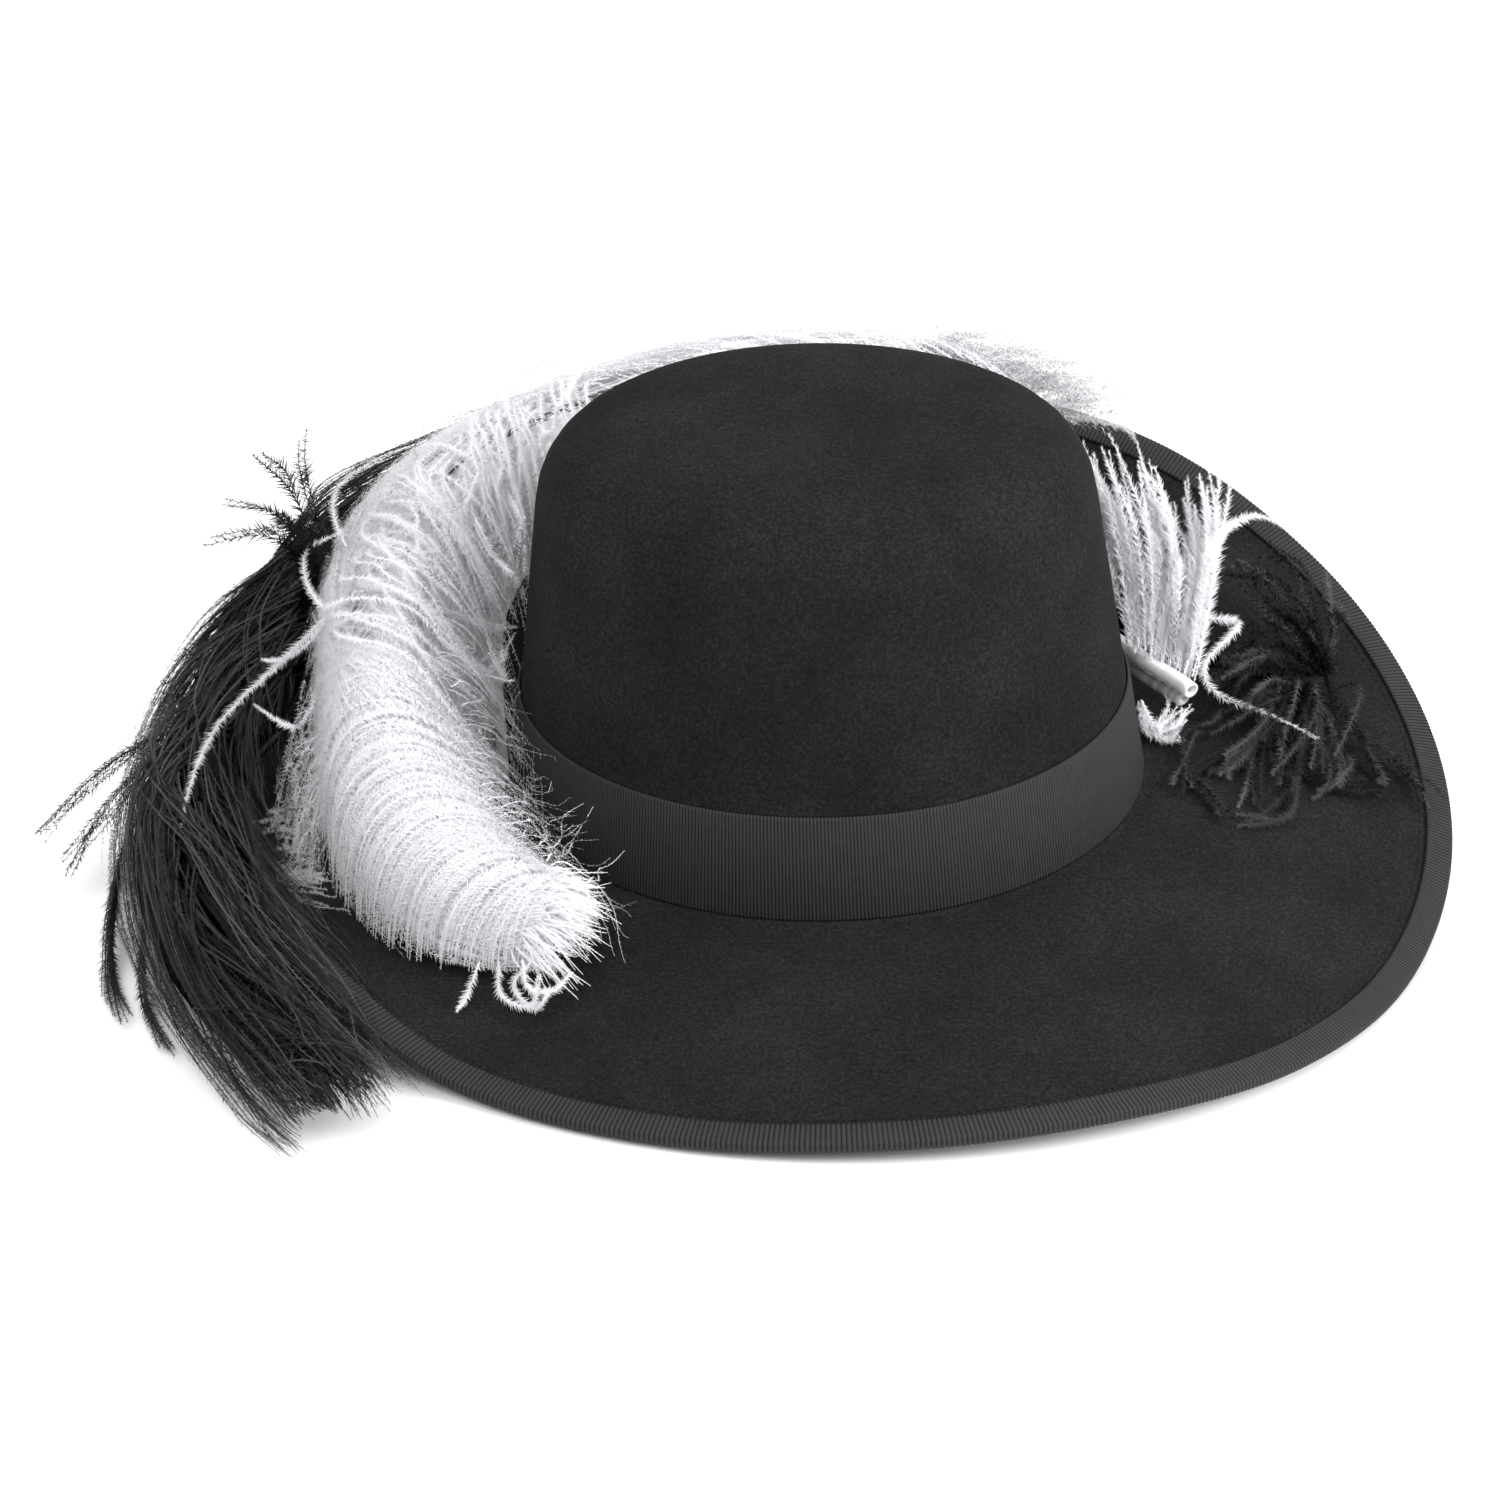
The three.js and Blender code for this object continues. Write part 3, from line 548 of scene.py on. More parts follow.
# Settle: no lower than the brim or the floor, and no nearer than the crown's side or its band.
def settle(angle, reach, height, clear=clearance["barb"]):
    edgeReach, trim = onBrim(angle, 1.0)[0], ribbon["thickness"] + ribbon["gap"]
    share = np.clip(reach / edgeReach, 1e-6, 1)
    onTop = onBrim(angle, share)[1] + np.where(share > clearance["trimFrom"], trim, 0)
    low = np.where(reach < edgeReach + clearance["pastEdge"], onTop, floorBelow(place(angle, reach, 0)))
    height = np.maximum(height, low + clear)
    out = np.where(height < ribbon["bandHeight"] + clearance["overBand"], trim, 0)
    wall = onSide(np.minimum(height, crown["height"]))[0] + out
    return np.maximum(reach, wall + clear), height


# Random numbers spread evenly from low to high.
def random(low, high, size):
    return rng.uniform(low, high, size)


# Smooth wander: three sine waves of random phase along each strand, growing from nought at the root.
def wander(count, t, amount):
    total = 0
    for waves in (1.0, 2.3, 4.1):
        total = total + np.sin(2 * np.pi * waves * t[None] + random(0, 2 * np.pi, (count, 1))) / waves
    return amount * total * t[None]


# How a strand's height over the vane varies from strand to strand and along it.
nap = dict(offLeast=0.1, frayLeast=-0.3, frayPower=4, bowLeast=0.4, bowMost=1.2, bowPower=0.8, droopPower=2,
           closeOver=6.0, closeLeast=0.4, probe=0.01)


# Combed strands: each leaves the vane at a root angle and side, drifts on along the plume by its length to
# the power of fall, and crosses to its tip side by the power of cross. Off is its height over the vane, lift
# how far it bows, fray how far its tip stands off, droop how far it bends back down. Cut is the angle past
# which no strand goes, and close the angle near which strands lie lower. Neighbours in one clump sway
# together: own is the share of tip, drift and sway that is a strand's alone, meet scales it at the tip, and
# apart is the share at the root.
def comb(plume, layer):
    n, t = layer["count"], np.linspace(0, 1, layer["steps"])
    spread = (np.arange(n) + random(0, 1, n)) / n
    root = layer["fromAngle"] + (layer["toAngle"] - layer["fromAngle"]) * spread
    clump = (spread * n / layer["clump"]).astype(int)
    own = layer["own"]
    shared = lambda share: (1 - share) * random(-1, 1, n)[clump] + share * random(-1, 1, n)
    pull, push = shared(own * layer["meet"]), shared(own)
    rootSide = layer["rootSide"] + layer["rootSpread"] * shared(layer["apart"])
    tipSide = column(layer["tips"], "side", root) if "tips" in layer else layer["tipSide"]
    tipSide = tipSide + layer["tipSpread"] * pull
    drift = column(layer["drift"], "drift", root) * (1 + layer["driftSpread"] * push)
    cut = layer["cut"] + layer["cutSlant"] * np.clip(tipSide, -1, 1)
    cut = cut + layer["cutSpread"] * random(-1, 1, n)
    drift = np.minimum(drift, cut - root)
    angle = root[:, None] + drift[:, None] * t[None] ** layer["fall"]
    side = rootSide[:, None] + (tipSide - rootSide)[:, None] * t[None] ** layer["cross"]
    side = side + wander(n, t, layer["wander"])[clump] + wander(n, t, layer["wander"] * own)
    off = layer["off"] * random(nap["offLeast"], 1, (n, 1))
    off = off + layer["fray"] * random(nap["frayLeast"], 1, (n, 1)) * t[None] ** nap["frayPower"]
    bow = np.sin(np.pi * t[None] ** nap["bowPower"])
    off = off + layer["lift"] * random(nap["bowLeast"], nap["bowMost"], (n, 1)) * bow
    off = off - layer["droop"] * random(0, 1, (n, 1)) * t[None] ** nap["droopPower"]
    off = off * np.clip((layer["close"] - angle) / nap["closeOver"], nap["closeLeast"], 1)
    reach, height = onVane(plume, angle, side, off)
    face = place(angle, *onVane(plume, angle, side, off + nap["probe"])) - place(angle, reach, height)
    return place(angle, *settle(angle, reach, height)), face


# Cubic path of many strands at once through their rows, the slope at each row taken from its neighbours.
def through(rows, steps):
    rows = np.asarray(rows, float)
    last = rows.shape[1] - 1
    k = np.linspace(0, last, steps)
    i = np.minimum(k.astype(int), last - 1)
    u = (k - i)[None, :, None]
    slope = np.gradient(rows, axis=1)
    a, b, sa, sb = rows[:, i], rows[:, i + 1], slope[:, i], slope[:, i + 1]
    bend = sa * u * (1 - u) ** 2 - sb * u**2 * (1 - u)
    return a * (1 - 3 * u**2 + 2 * u**3) + b * (3 * u**2 - 2 * u**3) + bend


# Loose strands: single and spray are a scatter of one unit, in degrees of angle and shares of reach and lift.
loose = dict(single=(35, 1, 0.8), spray=(35, 1, 1), rootShare=0.15, fanRoot=0.2, fanMiddle=0.5, bowLeast=0.2,
             bowMost=1.8, faceUp=1.2)


# Strands laid along their rows of angle, reach and lift, clear of the hat, facing out and up.
def layDown(rows, steps):
    path = through(rows, steps)
    angle, reach, height = path[..., 0], path[..., 1] * brim["width"], path[..., 2] * crown["height"]
    a = np.radians(angle)
    face = np.stack([np.cos(a), np.sin(a), np.full_like(a, loose["faceUp"])], axis=-1)
    return place(angle, *settle(angle, reach, height, clearance["wisp"])), face


# Single strands from one list of rows. Copies scatter by spread, more towards the tip.
def single(rows, copies, spread, steps=26):
    rows = np.repeat(np.asarray(rows, float)[None], copies, axis=0)
    grow = np.linspace(loose["rootShare"], 1, rows.shape[1])[None, :, None]
    return layDown(rows + spread * grow * random(-1, 1, rows.shape) * np.array(loose["single"]), steps)


# Spray: strands whose roots and tips run evenly between two rows each, bowed at the middle. Least is the
# shortest strand's length as a share of the longest.
def spray(count, roots, tips, bow, jitter, least, steps=18):
    share = (np.arange(count) + random(0, 1, count)) / count
    mix = lambda pair: np.array(pair[0]) + share[:, None] * (np.array(pair[1]) - np.array(pair[0]))
    start, end, scatter = mix(roots), mix(tips), jitter * np.array(loose["spray"])
    start = start + loose["fanRoot"] * random(-1, 1, start.shape) * scatter
    end = end + random(-1, 1, end.shape) * scatter
    end = start + (end - start) * random(least, 1, (count, 1))
    middle = (start + end) / 2 + np.array(bow) * random(loose["bowLeast"], loose["bowMost"], (count, 1))
    middle = middle + loose["fanMiddle"] * random(-1, 1, middle.shape) * scatter
    return layDown(np.stack([start, middle, end], axis=1), steps)


# Vectors divided by their own lengths.
def unit(vectors):
    return vectors / np.maximum(np.linalg.norm(vectors, axis=-1, keepdims=True), 1e-9)


# Barbules: the range of their sizes and leans, and how fast they grow from the root and shrink to the tip.
barbules = dict(sizeLeast=0.6, sizeMost=1.15, leanLeast=0.7, leanMost=1.3, growth=6, rootSize=0.3, shrink=2.2,
                spineTaper=0.75)


# Strand mesh: a flat spine with a row of one-triangle barbules down each side, which lean forward and shorten
# towards the tip. The shading normal is the vane's own, rolled a little from strand to strand.
def strandMesh(points, face, look):
    n, m, _ = points.shape
    along = unit(np.gradient(points, axis=1))
    face = unit(face - along * np.sum(face * along, axis=-1, keepdims=True))
    across = np.cross(along, face)
    roll = random(-look["roll"], look["roll"], (n, 1, 1))
    normal = face * np.cos(roll) + across * np.sin(roll)
    tone = random(0, 1, n)
    length = np.linalg.norm(np.diff(points, axis=1), axis=-1).sum(axis=1)
    t = np.linspace(0, 1, m)
    width = look["spine"] / 2 * (1 - barbules["spineTaper"] * t[None, :, None])
    spine = np.stack([points - across * width, points + across * width], axis=2).reshape(-1, 3)
    start = ((np.arange(n) * m)[:, None] + np.arange(m - 1)[None]).ravel() * 2
    tris = [np.stack([start, start + 1, start + 3], axis=1), np.stack([start, start + 3, start + 2], axis=1)]
    parts, normals = [spine], [np.repeat(normal.reshape(-1, 3), 2, axis=0)]
    shades, tones = [np.repeat(np.tile(t, n), 2)], [np.repeat(tone, 2 * m)]
    per = np.maximum((length / look["pitch"]).astype(int), 2)
    owner = np.repeat(np.arange(n), per)
    order = np.arange(len(owner)) - np.repeat(np.cumsum(per) - per, per)
    base = len(spine)
    for hand in (-1, 1):
        u = np.clip((order + random(0, 1, len(owner))) / per[owner], 0, 0.999)
        i = (u * (m - 1)).astype(int)
        f = (u * (m - 1) - i)[:, None]
        pick = lambda grid: grid[owner, i] * (1 - f) + grid[owner, i + 1] * f
        p, a, b, c = pick(points), pick(along), pick(across), pick(face)
        size = look["barbule"] * random(barbules["sizeLeast"], barbules["sizeMost"], len(owner))
        size = size * np.minimum(1, barbules["growth"] * u + barbules["rootSize"])
        size = size * np.minimum(1, barbules["shrink"] * (1 - u) + look["tipShare"])
        lean = look["lean"] * random(barbules["leanLeast"], barbules["leanMost"], len(owner))[:, None]
        tilt = random(-look["twist"], look["twist"], len(owner))[:, None]
        way = a * np.sin(lean) + (b * hand * np.cos(tilt) + c * np.sin(tilt)) * np.cos(lean)
        foot = a * look["foot"] / 2
        parts.append(np.stack([p - foot, p + foot, p + way * size[:, None]], axis=1).reshape(-1, 3))
        shades.append(np.repeat(u, 3))
        tones.append(np.repeat(tone[owner], 3))
        normals.append(np.repeat(unit(pick(normal) + look["round"] * hand * b), 3, axis=0))
        tris.append(base + np.arange(3 * len(owner)).reshape(-1, 3))
        base += 3 * len(owner)
    return [np.concatenate(group) for group in (parts, tris, shades, tones, normals)]


# One piece of several sets of strands, turned into place, its triangles wound to agree with their normals.
def makeStrands(name, sets, material):
    made = [strandMesh(points, face, look) for (points, face), look in sets]
    starts = np.cumsum([0] + [len(part[0]) for part in made])
    points = setDown(np.concatenate([part[0] for part in made]))
    tris = np.concatenate([part[1] + start for part, start in zip(made, starts)])
    shades, tones = (np.concatenate([part[k] for part in made]) for k in (2, 3))
    normals = np.concatenate([part[4] for part in made]) @ restTurn.T
    a, b, c = (points[tris[:, k]] for k in range(3))
    wrong = np.sum(np.cross(b - a, c - a) * normals[tris[:, 0]], axis=1) < 0
    tris[wrong] = tris[wrong][:, ::-1]
    piece = newPiece(name, points, tris, material, normals)
    tint(piece, "strand", shades)
    tint(piece, "tone", tones)
    return piece


coreShape = dict(slantPower=4, strand=0.5, tone=0.6)


# Core of a plume: a thin closed shell along its barbs, between two angles and, at each angle, two sides of
# the vane. Its far end slants from side to side.
def makeCore(name, plume, core, material):
    rows, columns = core["rows"], core["columns"]
    angle = np.linspace(core["fromAngle"], core["toAngle"], rows)[:, None]
    low, high = column(core["sides"], "low", angle), column(core["sides"], "high", angle)
    side = low + (high - low) * np.linspace(0, 1, columns)[None]
    share = np.linspace(0, 1, rows)[:, None]
    angle = angle + core["slant"] * side * share ** coreShape["slantPower"]
    sheets = []
    top, bottom = core["top"], core["top"] - core["thickness"]
    for off, clear in ((top, clearance["coreTop"]), (bottom, clearance["barb"])):
        sheets.append(place(angle, *settle(angle, *onVane(plume, angle, side, off), clear)))
    count = rows * columns
    face = gridFaces(rows, columns, closeColumns=False)
    i, j = np.arange(rows - 1) * columns, np.arange(columns - 1)
    far, last = i + columns - 1, (rows - 1) * columns
    rims = [np.stack([i, i + columns, i + columns + count, i + count], axis=1),
            np.stack([far + count, far + columns + count, far + columns, far], axis=1),
            np.stack([j + count, j + 1 + count, j + 1, j], axis=1),
            np.stack([last + j, last + j + 1, last + j + 1 + count, last + j + count], axis=1)]
    faces = np.concatenate([face[:, ::-1], face + count] + rims)
    piece = newPiece(name, setDown(np.concatenate(sheets).reshape(-1, 3)), faces, material)
    tint(piece, "strand", np.full(2 * count, coreShape["strand"]))
    tint(piece, "tone", np.full(2 * count, coreShape["tone"]))
    return piece


# Rings inside the quill's open end and over its far end, as shares of its radius. Depth is the bore's, in
# radii.
quillEnds = dict(bore=(0.86, 0.7), deep=(0.6, 0.02), close=(0.5, 0.02), depth=2, tone=0.5)
quillRelief = dict(grooveWidth=0.35, ribPitch=2.2)


# Quill: a tube along a shaft's table, cut off square and hollow at its end. Its groove is a bell curve round
# its top, its ribs a sine wave along it.
def makeQuill(name, shaft, quill, material):
    rows, columns, radius = quill["rows"], quill["columns"], quill["radius"]
    angle = np.linspace(quill["fromAngle"], quill["toAngle"], rows)
    reach = column(shaft, "reach", angle) * brim["width"]
    height = column(shaft, "lift", angle) * crown["height"] - quill["below"]
    centre = place(angle, *settle(angle, reach, height, radius))
    along = unit(np.gradient(centre, axis=0))
    side = unit(np.cross((0, 0, 1), along))
    top = np.cross(along, side) * quill["flat"]
    turn = np.linspace(0, 2 * np.pi, columns, endpoint=False)
    groove = 1 - quill["groove"] * np.exp(-((turn - np.pi / 2) / quillRelief["grooveWidth"]) ** 2)
    ribs = 1 + quill["ribs"] * np.sin(np.arange(rows) * quillRelief["ribPitch"])[:, None]
    ring = side[:, None] * np.cos(turn)[None, :, None] + top[:, None] * np.sin(turn)[None, :, None]
    ring = ring * (groove[None] * ribs)[..., None] * radius
    bore = np.stack([centre[0] + ring[0] * share for share in quillEnds["bore"]])
    depth = along[0] * radius * quillEnds["depth"]
    deep = np.stack([centre[0] + depth + ring[0] * share for share in quillEnds["deep"]])
    close = np.stack([centre[-1] + ring[-1] * share for share in quillEnds["close"]])
    rings = np.concatenate([deep[::-1], bore[::-1], centre[:, None] + ring, close])
    piece = newPiece(name, setDown(rings.reshape(-1, 3)), gridFaces(len(rings), columns), material)
    inside, outside = len(deep), len(rings) - len(deep)
    # The bore's rings take the root colour, which paints shade inside the hollow end; the rest take the tip
    # colour.
    tint(piece, "strand", np.repeat([0.0, 1.0], [inside * columns, outside * columns]))
    start, end = np.full(len(deep) + len(bore), quillEnds["tone"]), np.full(len(close), quillEnds["tone"])
    tint(piece, "tone", np.repeat(np.concatenate([start, random(0, 1, rows), end]), columns))
    return piece


# Table of drift that is the same at every angle.
def steady(value):
    return dict(angle=[0, 400], drift=[value, value])


whiteCore = dict(
    rows=96, columns=18, fromAngle=66, toAngle=240, top=-0.0025, thickness=0.0012, slant=0,
    sides=dict(angle=[66, 130, 150, 164, 176, 190, 206, 232, 242],
               low=[-0.75, -0.85, -0.9, -0.92, -0.95, -0.95, -0.95, -0.9, -0.6],
               high=[-0.3, -0.35, -0.3, -0.2, 0.0, 0.35, 0.7, 0.8, 0.5]),
)
wallCore = dict(
    rows=50, columns=8, fromAngle=118, toAngle=204, top=-0.005, thickness=0.001, slant=0,
    sides=dict(angle=[118, 160, 176, 190, 204], low=[-0.1, -0.35, -0.15, 0, 0.1],
               high=[0.98, 0.98, 1.15, 1.22, 1.0]),
)
blackCore = dict(
    rows=90, columns=16, fromAngle=60, toAngle=234.5, top=-0.001, thickness=0.0015, slant=2.2,
    sides=dict(angle=[60, 90, 222, 236.5], low=[-0.6, -0.88, -0.82, -0.7], high=[0.6, 0.92, 0.82, 0.7]),
)
whiteQuill = dict(rows=60, columns=20, fromAngle=12, toAngle=60, below=0, radius=0.0027, groove=0.16, ribs=0,
                  flat=1)
brownQuill = dict(whiteQuill, fromAngle=14, below=0.006, groove=0, ribs=0.035, flat=0.8)
blackQuill = dict(whiteQuill, fromAngle=21, radius=0.0024, groove=0)

# Looks of a strand: spine's width, barbules' pitch, length, lean, twist and foot, and how the shading normal
# rolls from strand to strand and rounds across one.
dense = dict(spine=0.0003, pitch=0.0011, barbule=0.0028, lean=0.6, twist=0.8, foot=0.00036, roll=0.18,
             round=0.22, tipShare=0.3)
sleek = dict(dense, pitch=0.0013, barbule=0.0022, lean=0.85)
clear = dict(dense, spine=0.0006, pitch=0.00034, barbule=0.0024, lean=0.65, twist=1.0, foot=0.0004,
             tipShare=0.35)
blade = dict(dense, spine=0.0007, pitch=0.0017, barbule=0.0021, lean=1.0, roll=0.7, foot=0.0005)
fluffy = dict(clear, spine=0.0006, pitch=0.00038, barbule=0.0027, roll=0.6, tipShare=0.6)
bold = dict(clear, spine=0.0009, pitch=0.0003, barbule=0.003)
fine = dict(clear, spine=0.0004, pitch=0.0007, barbule=0.002, foot=0.0003)
soft = dict(clear, spine=0.0003, pitch=0.0011, barbule=0.0034, foot=0.0003, tipShare=0.6)
wisp = dict(clear, spine=0.0005, pitch=0.0008, barbule=0.0011, lean=0.9)
brush = dict(clear, spine=0.0005, pitch=0.0006, barbule=0.0016, lean=1.0, tipShare=0.1)
fern = dict(clear, spine=0.0008, pitch=0.0007, barbule=0.0065, lean=0.8, twist=1.0, foot=0.0006, tipShare=0.3)
web = dict(clear, barbule=0.0038, lean=0.8)
spike = dict(clear, spine=0.0008, pitch=0.0009, barbule=0.0034, lean=0.9, foot=0.0005)

usual = dict(steps=14, own=0.4, driftSpread=0.3, fall=1.2, cross=1.0, off=0.004, lift=0.003, fray=0.004,
             wander=0.03, clump=3, apart=1, meet=1, droop=0, close=400, cut=400, cutSlant=0, cutSpread=0)
bodyDrift = dict(angle=[150, 165, 180, 195, 210, 225, 241], drift=[50, 42, 26, 14, 9, 7, 8])
bodyTips = dict(angle=[158, 170, 182, 194, 206, 230], side=[-0.35, -0.15, 0.15, 0.6, 0.85, 0.8])
maneDrift = dict(angle=[56, 100, 130, 150, 172, 192], drift=[26, 30, 38, 34, 24, 18])

whiteLayers = dict(
    body=dict(usual, count=770, fromAngle=152, toAngle=241, rootSide=-0.97, rootSpread=0.1, tips=bodyTips,
              tipSpread=0.25, drift=bodyDrift, driftSpread=0.2, fall=1.3, off=0.0045, lift=0.0025, fray=0.005,
              cut=241.2, cutSlant=-1.5, cutSpread=1.8, close=248),
    mane=dict(usual, count=585, fromAngle=62, toAngle=192, rootSide=-0.45, rootSpread=0.4, tipSide=-0.95,
              tipSpread=0.3, drift=maneDrift, cross=1.4, off=0.003, lift=0.002, fray=0.004),
    drape=dict(usual, count=300, fromAngle=56, toAngle=234, rootSide=-0.75, rootSpread=0.2, tipSide=-1.02,
               tipSpread=0.1, drift=steady(16), off=0.001, lift=0.001, fray=0.003, cut=242),
    back=dict(usual, count=160, fromAngle=54, toAngle=130, rootSide=0.9, rootSpread=0.1, tipSide=0.0,
              tipSpread=0.3, drift=steady(14), off=0.001, lift=0.001, fray=0.004),
    lace=dict(usual, count=80, steps=22, fromAngle=124, toAngle=184, rootSide=-0.3, rootSpread=0.25,
              tipSide=0.8, tipSpread=0.45, own=0.7, drift=steady(20), driftSpread=0.9, fall=0.8, cross=1.6,
              off=0.007, lift=0.006, fray=0.008, wander=0.06, clump=3),
    fringe=dict(usual, steps=20, count=90, fromAngle=188, toAngle=240, rootSide=0.6, rootSpread=0.2,
                tipSide=1.02, tipSpread=0.25, own=1, drift=steady(4), driftSpread=2, off=0.008, lift=0.006,
                fray=0.022, wander=0.06, clump=1, close=250),
    tuft=dict(usual, count=280, fromAngle=234, toAngle=243, rootSide=-0.05, rootSpread=0.85, tipSide=-0.05,
              tipSpread=0.8, own=1, drift=steady(5), driftSpread=0.5, off=0.002, lift=0.002, fray=0.004,
              wander=0.06, clump=1, cut=242, cutSlant=-1, cutSpread=1.5, close=248),
    between=dict(usual, count=50, steps=22, fromAngle=186, toAngle=206, rootSide=-0.85, rootSpread=0.1,
                 tipSide=-1.6, tipSpread=0.5, own=0.7, drift=steady(3), driftSpread=4, off=0.003, lift=0.012,
                 fray=0.004, wander=0.4, clump=3),
)
wallLayer = dict(usual, count=330, fromAngle=112, toAngle=198, rootSide=0.35, rootSpread=0.6, tipSide=0.8,
                 tipSpread=0.45, drift=steady(26), off=-0.003, lift=0.002, fray=0.001)
strandy = dict(usual, steps=18, own=0.3, apart=0.25, meet=0.3, clump=9, cut=239, cutSlant=2.4, cutSpread=1)
blackLayers = dict(
    top=dict(strandy, count=620, fromAngle=100, toAngle=232, rootSide=0.0, rootSpread=0.8, tipSide=0.0,
             tipSpread=1.05, drift=steady(38), driftSpread=0.4, fall=1.0, off=0.006, lift=0.004,
             wander=0.035),
    outer=dict(strandy, count=330, fromAngle=56, toAngle=226, rootSide=-0.4, rootSpread=0.45, tipSide=-1.2,
               tipSpread=0.35, drift=steady(28), driftSpread=0.5, wander=0.04),
    inner=dict(strandy, count=300, fromAngle=56, toAngle=230, rootSide=0.3, rootSpread=0.4, tipSide=1.05,
               tipSpread=0.3, drift=steady(28), driftSpread=0.5, wander=0.04),
    end=dict(strandy, count=380, fromAngle=224, toAngle=235, rootSide=0.0, rootSpread=0.9, tipSide=0.0,
             tipSpread=1.0, own=1, drift=steady(14), driftSpread=0.3, off=0.004, droop=0.012, wander=0.03,
             clump=1, cut=238.5, cutSpread=0.8),
)

# Single wisps, as rows of angle, reach (share of the brim's width) and lift (share of the crown's height).
leftWisps = [
    [(176, 0.54, 0.4), (184, 0.7, 0.34), (194, 0.91, 0.3), (206, 1.09, 0.25)],
    [(176, 0.56, 0.37), (170, 0.69, 0.38), (165, 0.75, 0.41), (163, 0.64, 0.46)],
    [(177, 0.56, 0.37), (179, 0.63, 0.33), (181, 0.7, 0.31), (181, 0.77, 0.3)],
    [(179, 0.57, 0.3), (185, 0.59, 0.26), (190, 0.66, 0.23), (187, 0.78, 0.26)],
    [(164, 0.62, 0.43), (159, 0.74, 0.46), (155, 0.77, 0.49), (151, 0.7, 0.53)],
]
hookWisps = [
    [(149, 0.19, 0.66), (155, 0.15, 0.6), (158, 0.04, 0.55), (166, 0.02, 0.44)],
    [(160, 0.21, 0.65), (165, 0.17, 0.59), (169, 0.12, 0.5), (171, 0.05, 0.38)],
    [(163, 0.18, 0.61), (167, 0.1, 0.54), (169, 0.03, 0.47), (169, 0.02, 0.42)],
    [(187, 0.25, 0.54), (183, 0.15, 0.46), (177, 0.04, 0.38), (170, 0.02, 0.33)],
    [(195, 0.2, 0.5), (192, 0.08, 0.38), (187, 0.02, 0.3), (181, 0.03, 0.34)],
    [(201, 0.28, 0.5), (196, 0.15, 0.41), (184, 0.03, 0.32), (172, 0.02, 0.3)],
    [(173, 0.18, 0.53), (163, 0.16, 0.48), (156, 0.15, 0.45), (150, 0.14, 0.43)],
]
tipCurls = [
    [(236, 0.66, 0.1), (236, 0.71, 0.05), (236, 0.74, 0.03), (236, 0.78, 0.02)],
    [(238, 0.64, 0.11), (239, 0.68, 0.04), (243, 0.67, 0.04), (243, 0.64, 0.11)],
    [(241, 0.6, 0.11), (240, 0.65, 0.06), (243, 0.67, 0.03), (244, 0.63, 0.06)],
    [(240, 0.6, 0.11), (242, 0.65, 0.07), (244, 0.62, 0.06), (245, 0.55, 0.08)],
]
quillWisps = [
    [(18, 0.2, 0.13), (18.5, 0.22, 0.23), (20, 0.28, 0.43), (23, 0.36, 0.48), (26, 0.49, 0.46),
     (27, 0.62, 0.4)],
    [(20, 0.2, 0.14), (25, 0.28, 0.2), (25, 0.38, 0.19), (24, 0.42, 0.17), (21, 0.28, 0.11), (17, 0.29, 0.06),
     (12, 0.43, 0.04), (6, 0.56, 0.02)],
    [(15, 0.03, 0.09), (11, 0.04, 0.04), (10, 0.1, 0.03), (15, 0.15, 0.07)],
    [(66, 0.4, 0.44), (63, 0.62, 0.42), (62, 0.78, 0.34), (60, 0.84, 0.31), (59, 0.85, 0.27)],
]
hub = (21, 0.69, 0.0)
fluffWisps = [
    [hub, (24, 0.61, 0.06), (25, 0.51, 0.09), (26, 0.44, 0.11)],
    [hub, (24, 0.67, 0.08), (30, 0.57, 0.18), (38, 0.56, 0.23)],
    [hub, (24, 0.69, 0.08), (31, 0.63, 0.17), (34, 0.59, 0.21)],
    [hub, (26, 0.73, 0.11), (32, 0.76, 0.18), (35, 0.69, 0.2)],
    [hub, (24, 0.75, 0.09), (25, 0.78, 0.12), (27, 0.8, 0.15)],
    [hub, (22, 0.55, 0.06), (20, 0.38, 0.08), (21, 0.3, 0.07)],
    [hub, (16, 0.49, 0.01), (6, 0.36, -0.02), (-7, 0.35, -0.05)],
    [hub, (12, 0.43, -0.01), (4, 0.31, -0.02), (0, 0.23, -0.02)],
    [hub, (12, 0.49, -0.02), (4, 0.54, -0.07), (3, 0.72, -0.1)],
    [hub, (16, 0.6, 0.0), (5, 0.48, -0.04), (-6, 0.44, -0.08), (-11, 0.33, -0.08)],
    [hub, (14, 0.68, -0.02), (9, 0.79, -0.07), (6, 0.88, -0.1), (2, 0.92, -0.12)],
    [hub, (10, 0.72, -0.04), (5, 0.78, -0.09), (2, 0.73, -0.09)],
    [(16, 0.3, 0.02), (12, 0.25, 0.02), (10, 0.17, 0.03), (-1, 0.13, 0.0), (-7, 0.15, -0.02)],
    [(8, 0.3, 0.0), (-1, 0.17, 0.0), (-6, 0.22, -0.02), (-11, 0.28, -0.04)],
    [hub, (23, 0.6, 0.04), (22, 0.45, 0.08), (23, 0.34, 0.1)],
    [hub, (19, 0.58, 0.02), (13, 0.45, 0.02), (6, 0.42, -0.01), (0, 0.46, -0.03)],
    [hub, (18, 0.62, 0.01), (11, 0.6, -0.02), (4, 0.63, -0.05), (0, 0.58, -0.06)],
    [hub, (25, 0.7, 0.08), (29, 0.68, 0.14), (33, 0.6, 0.19), (35, 0.5, 0.21)],
]
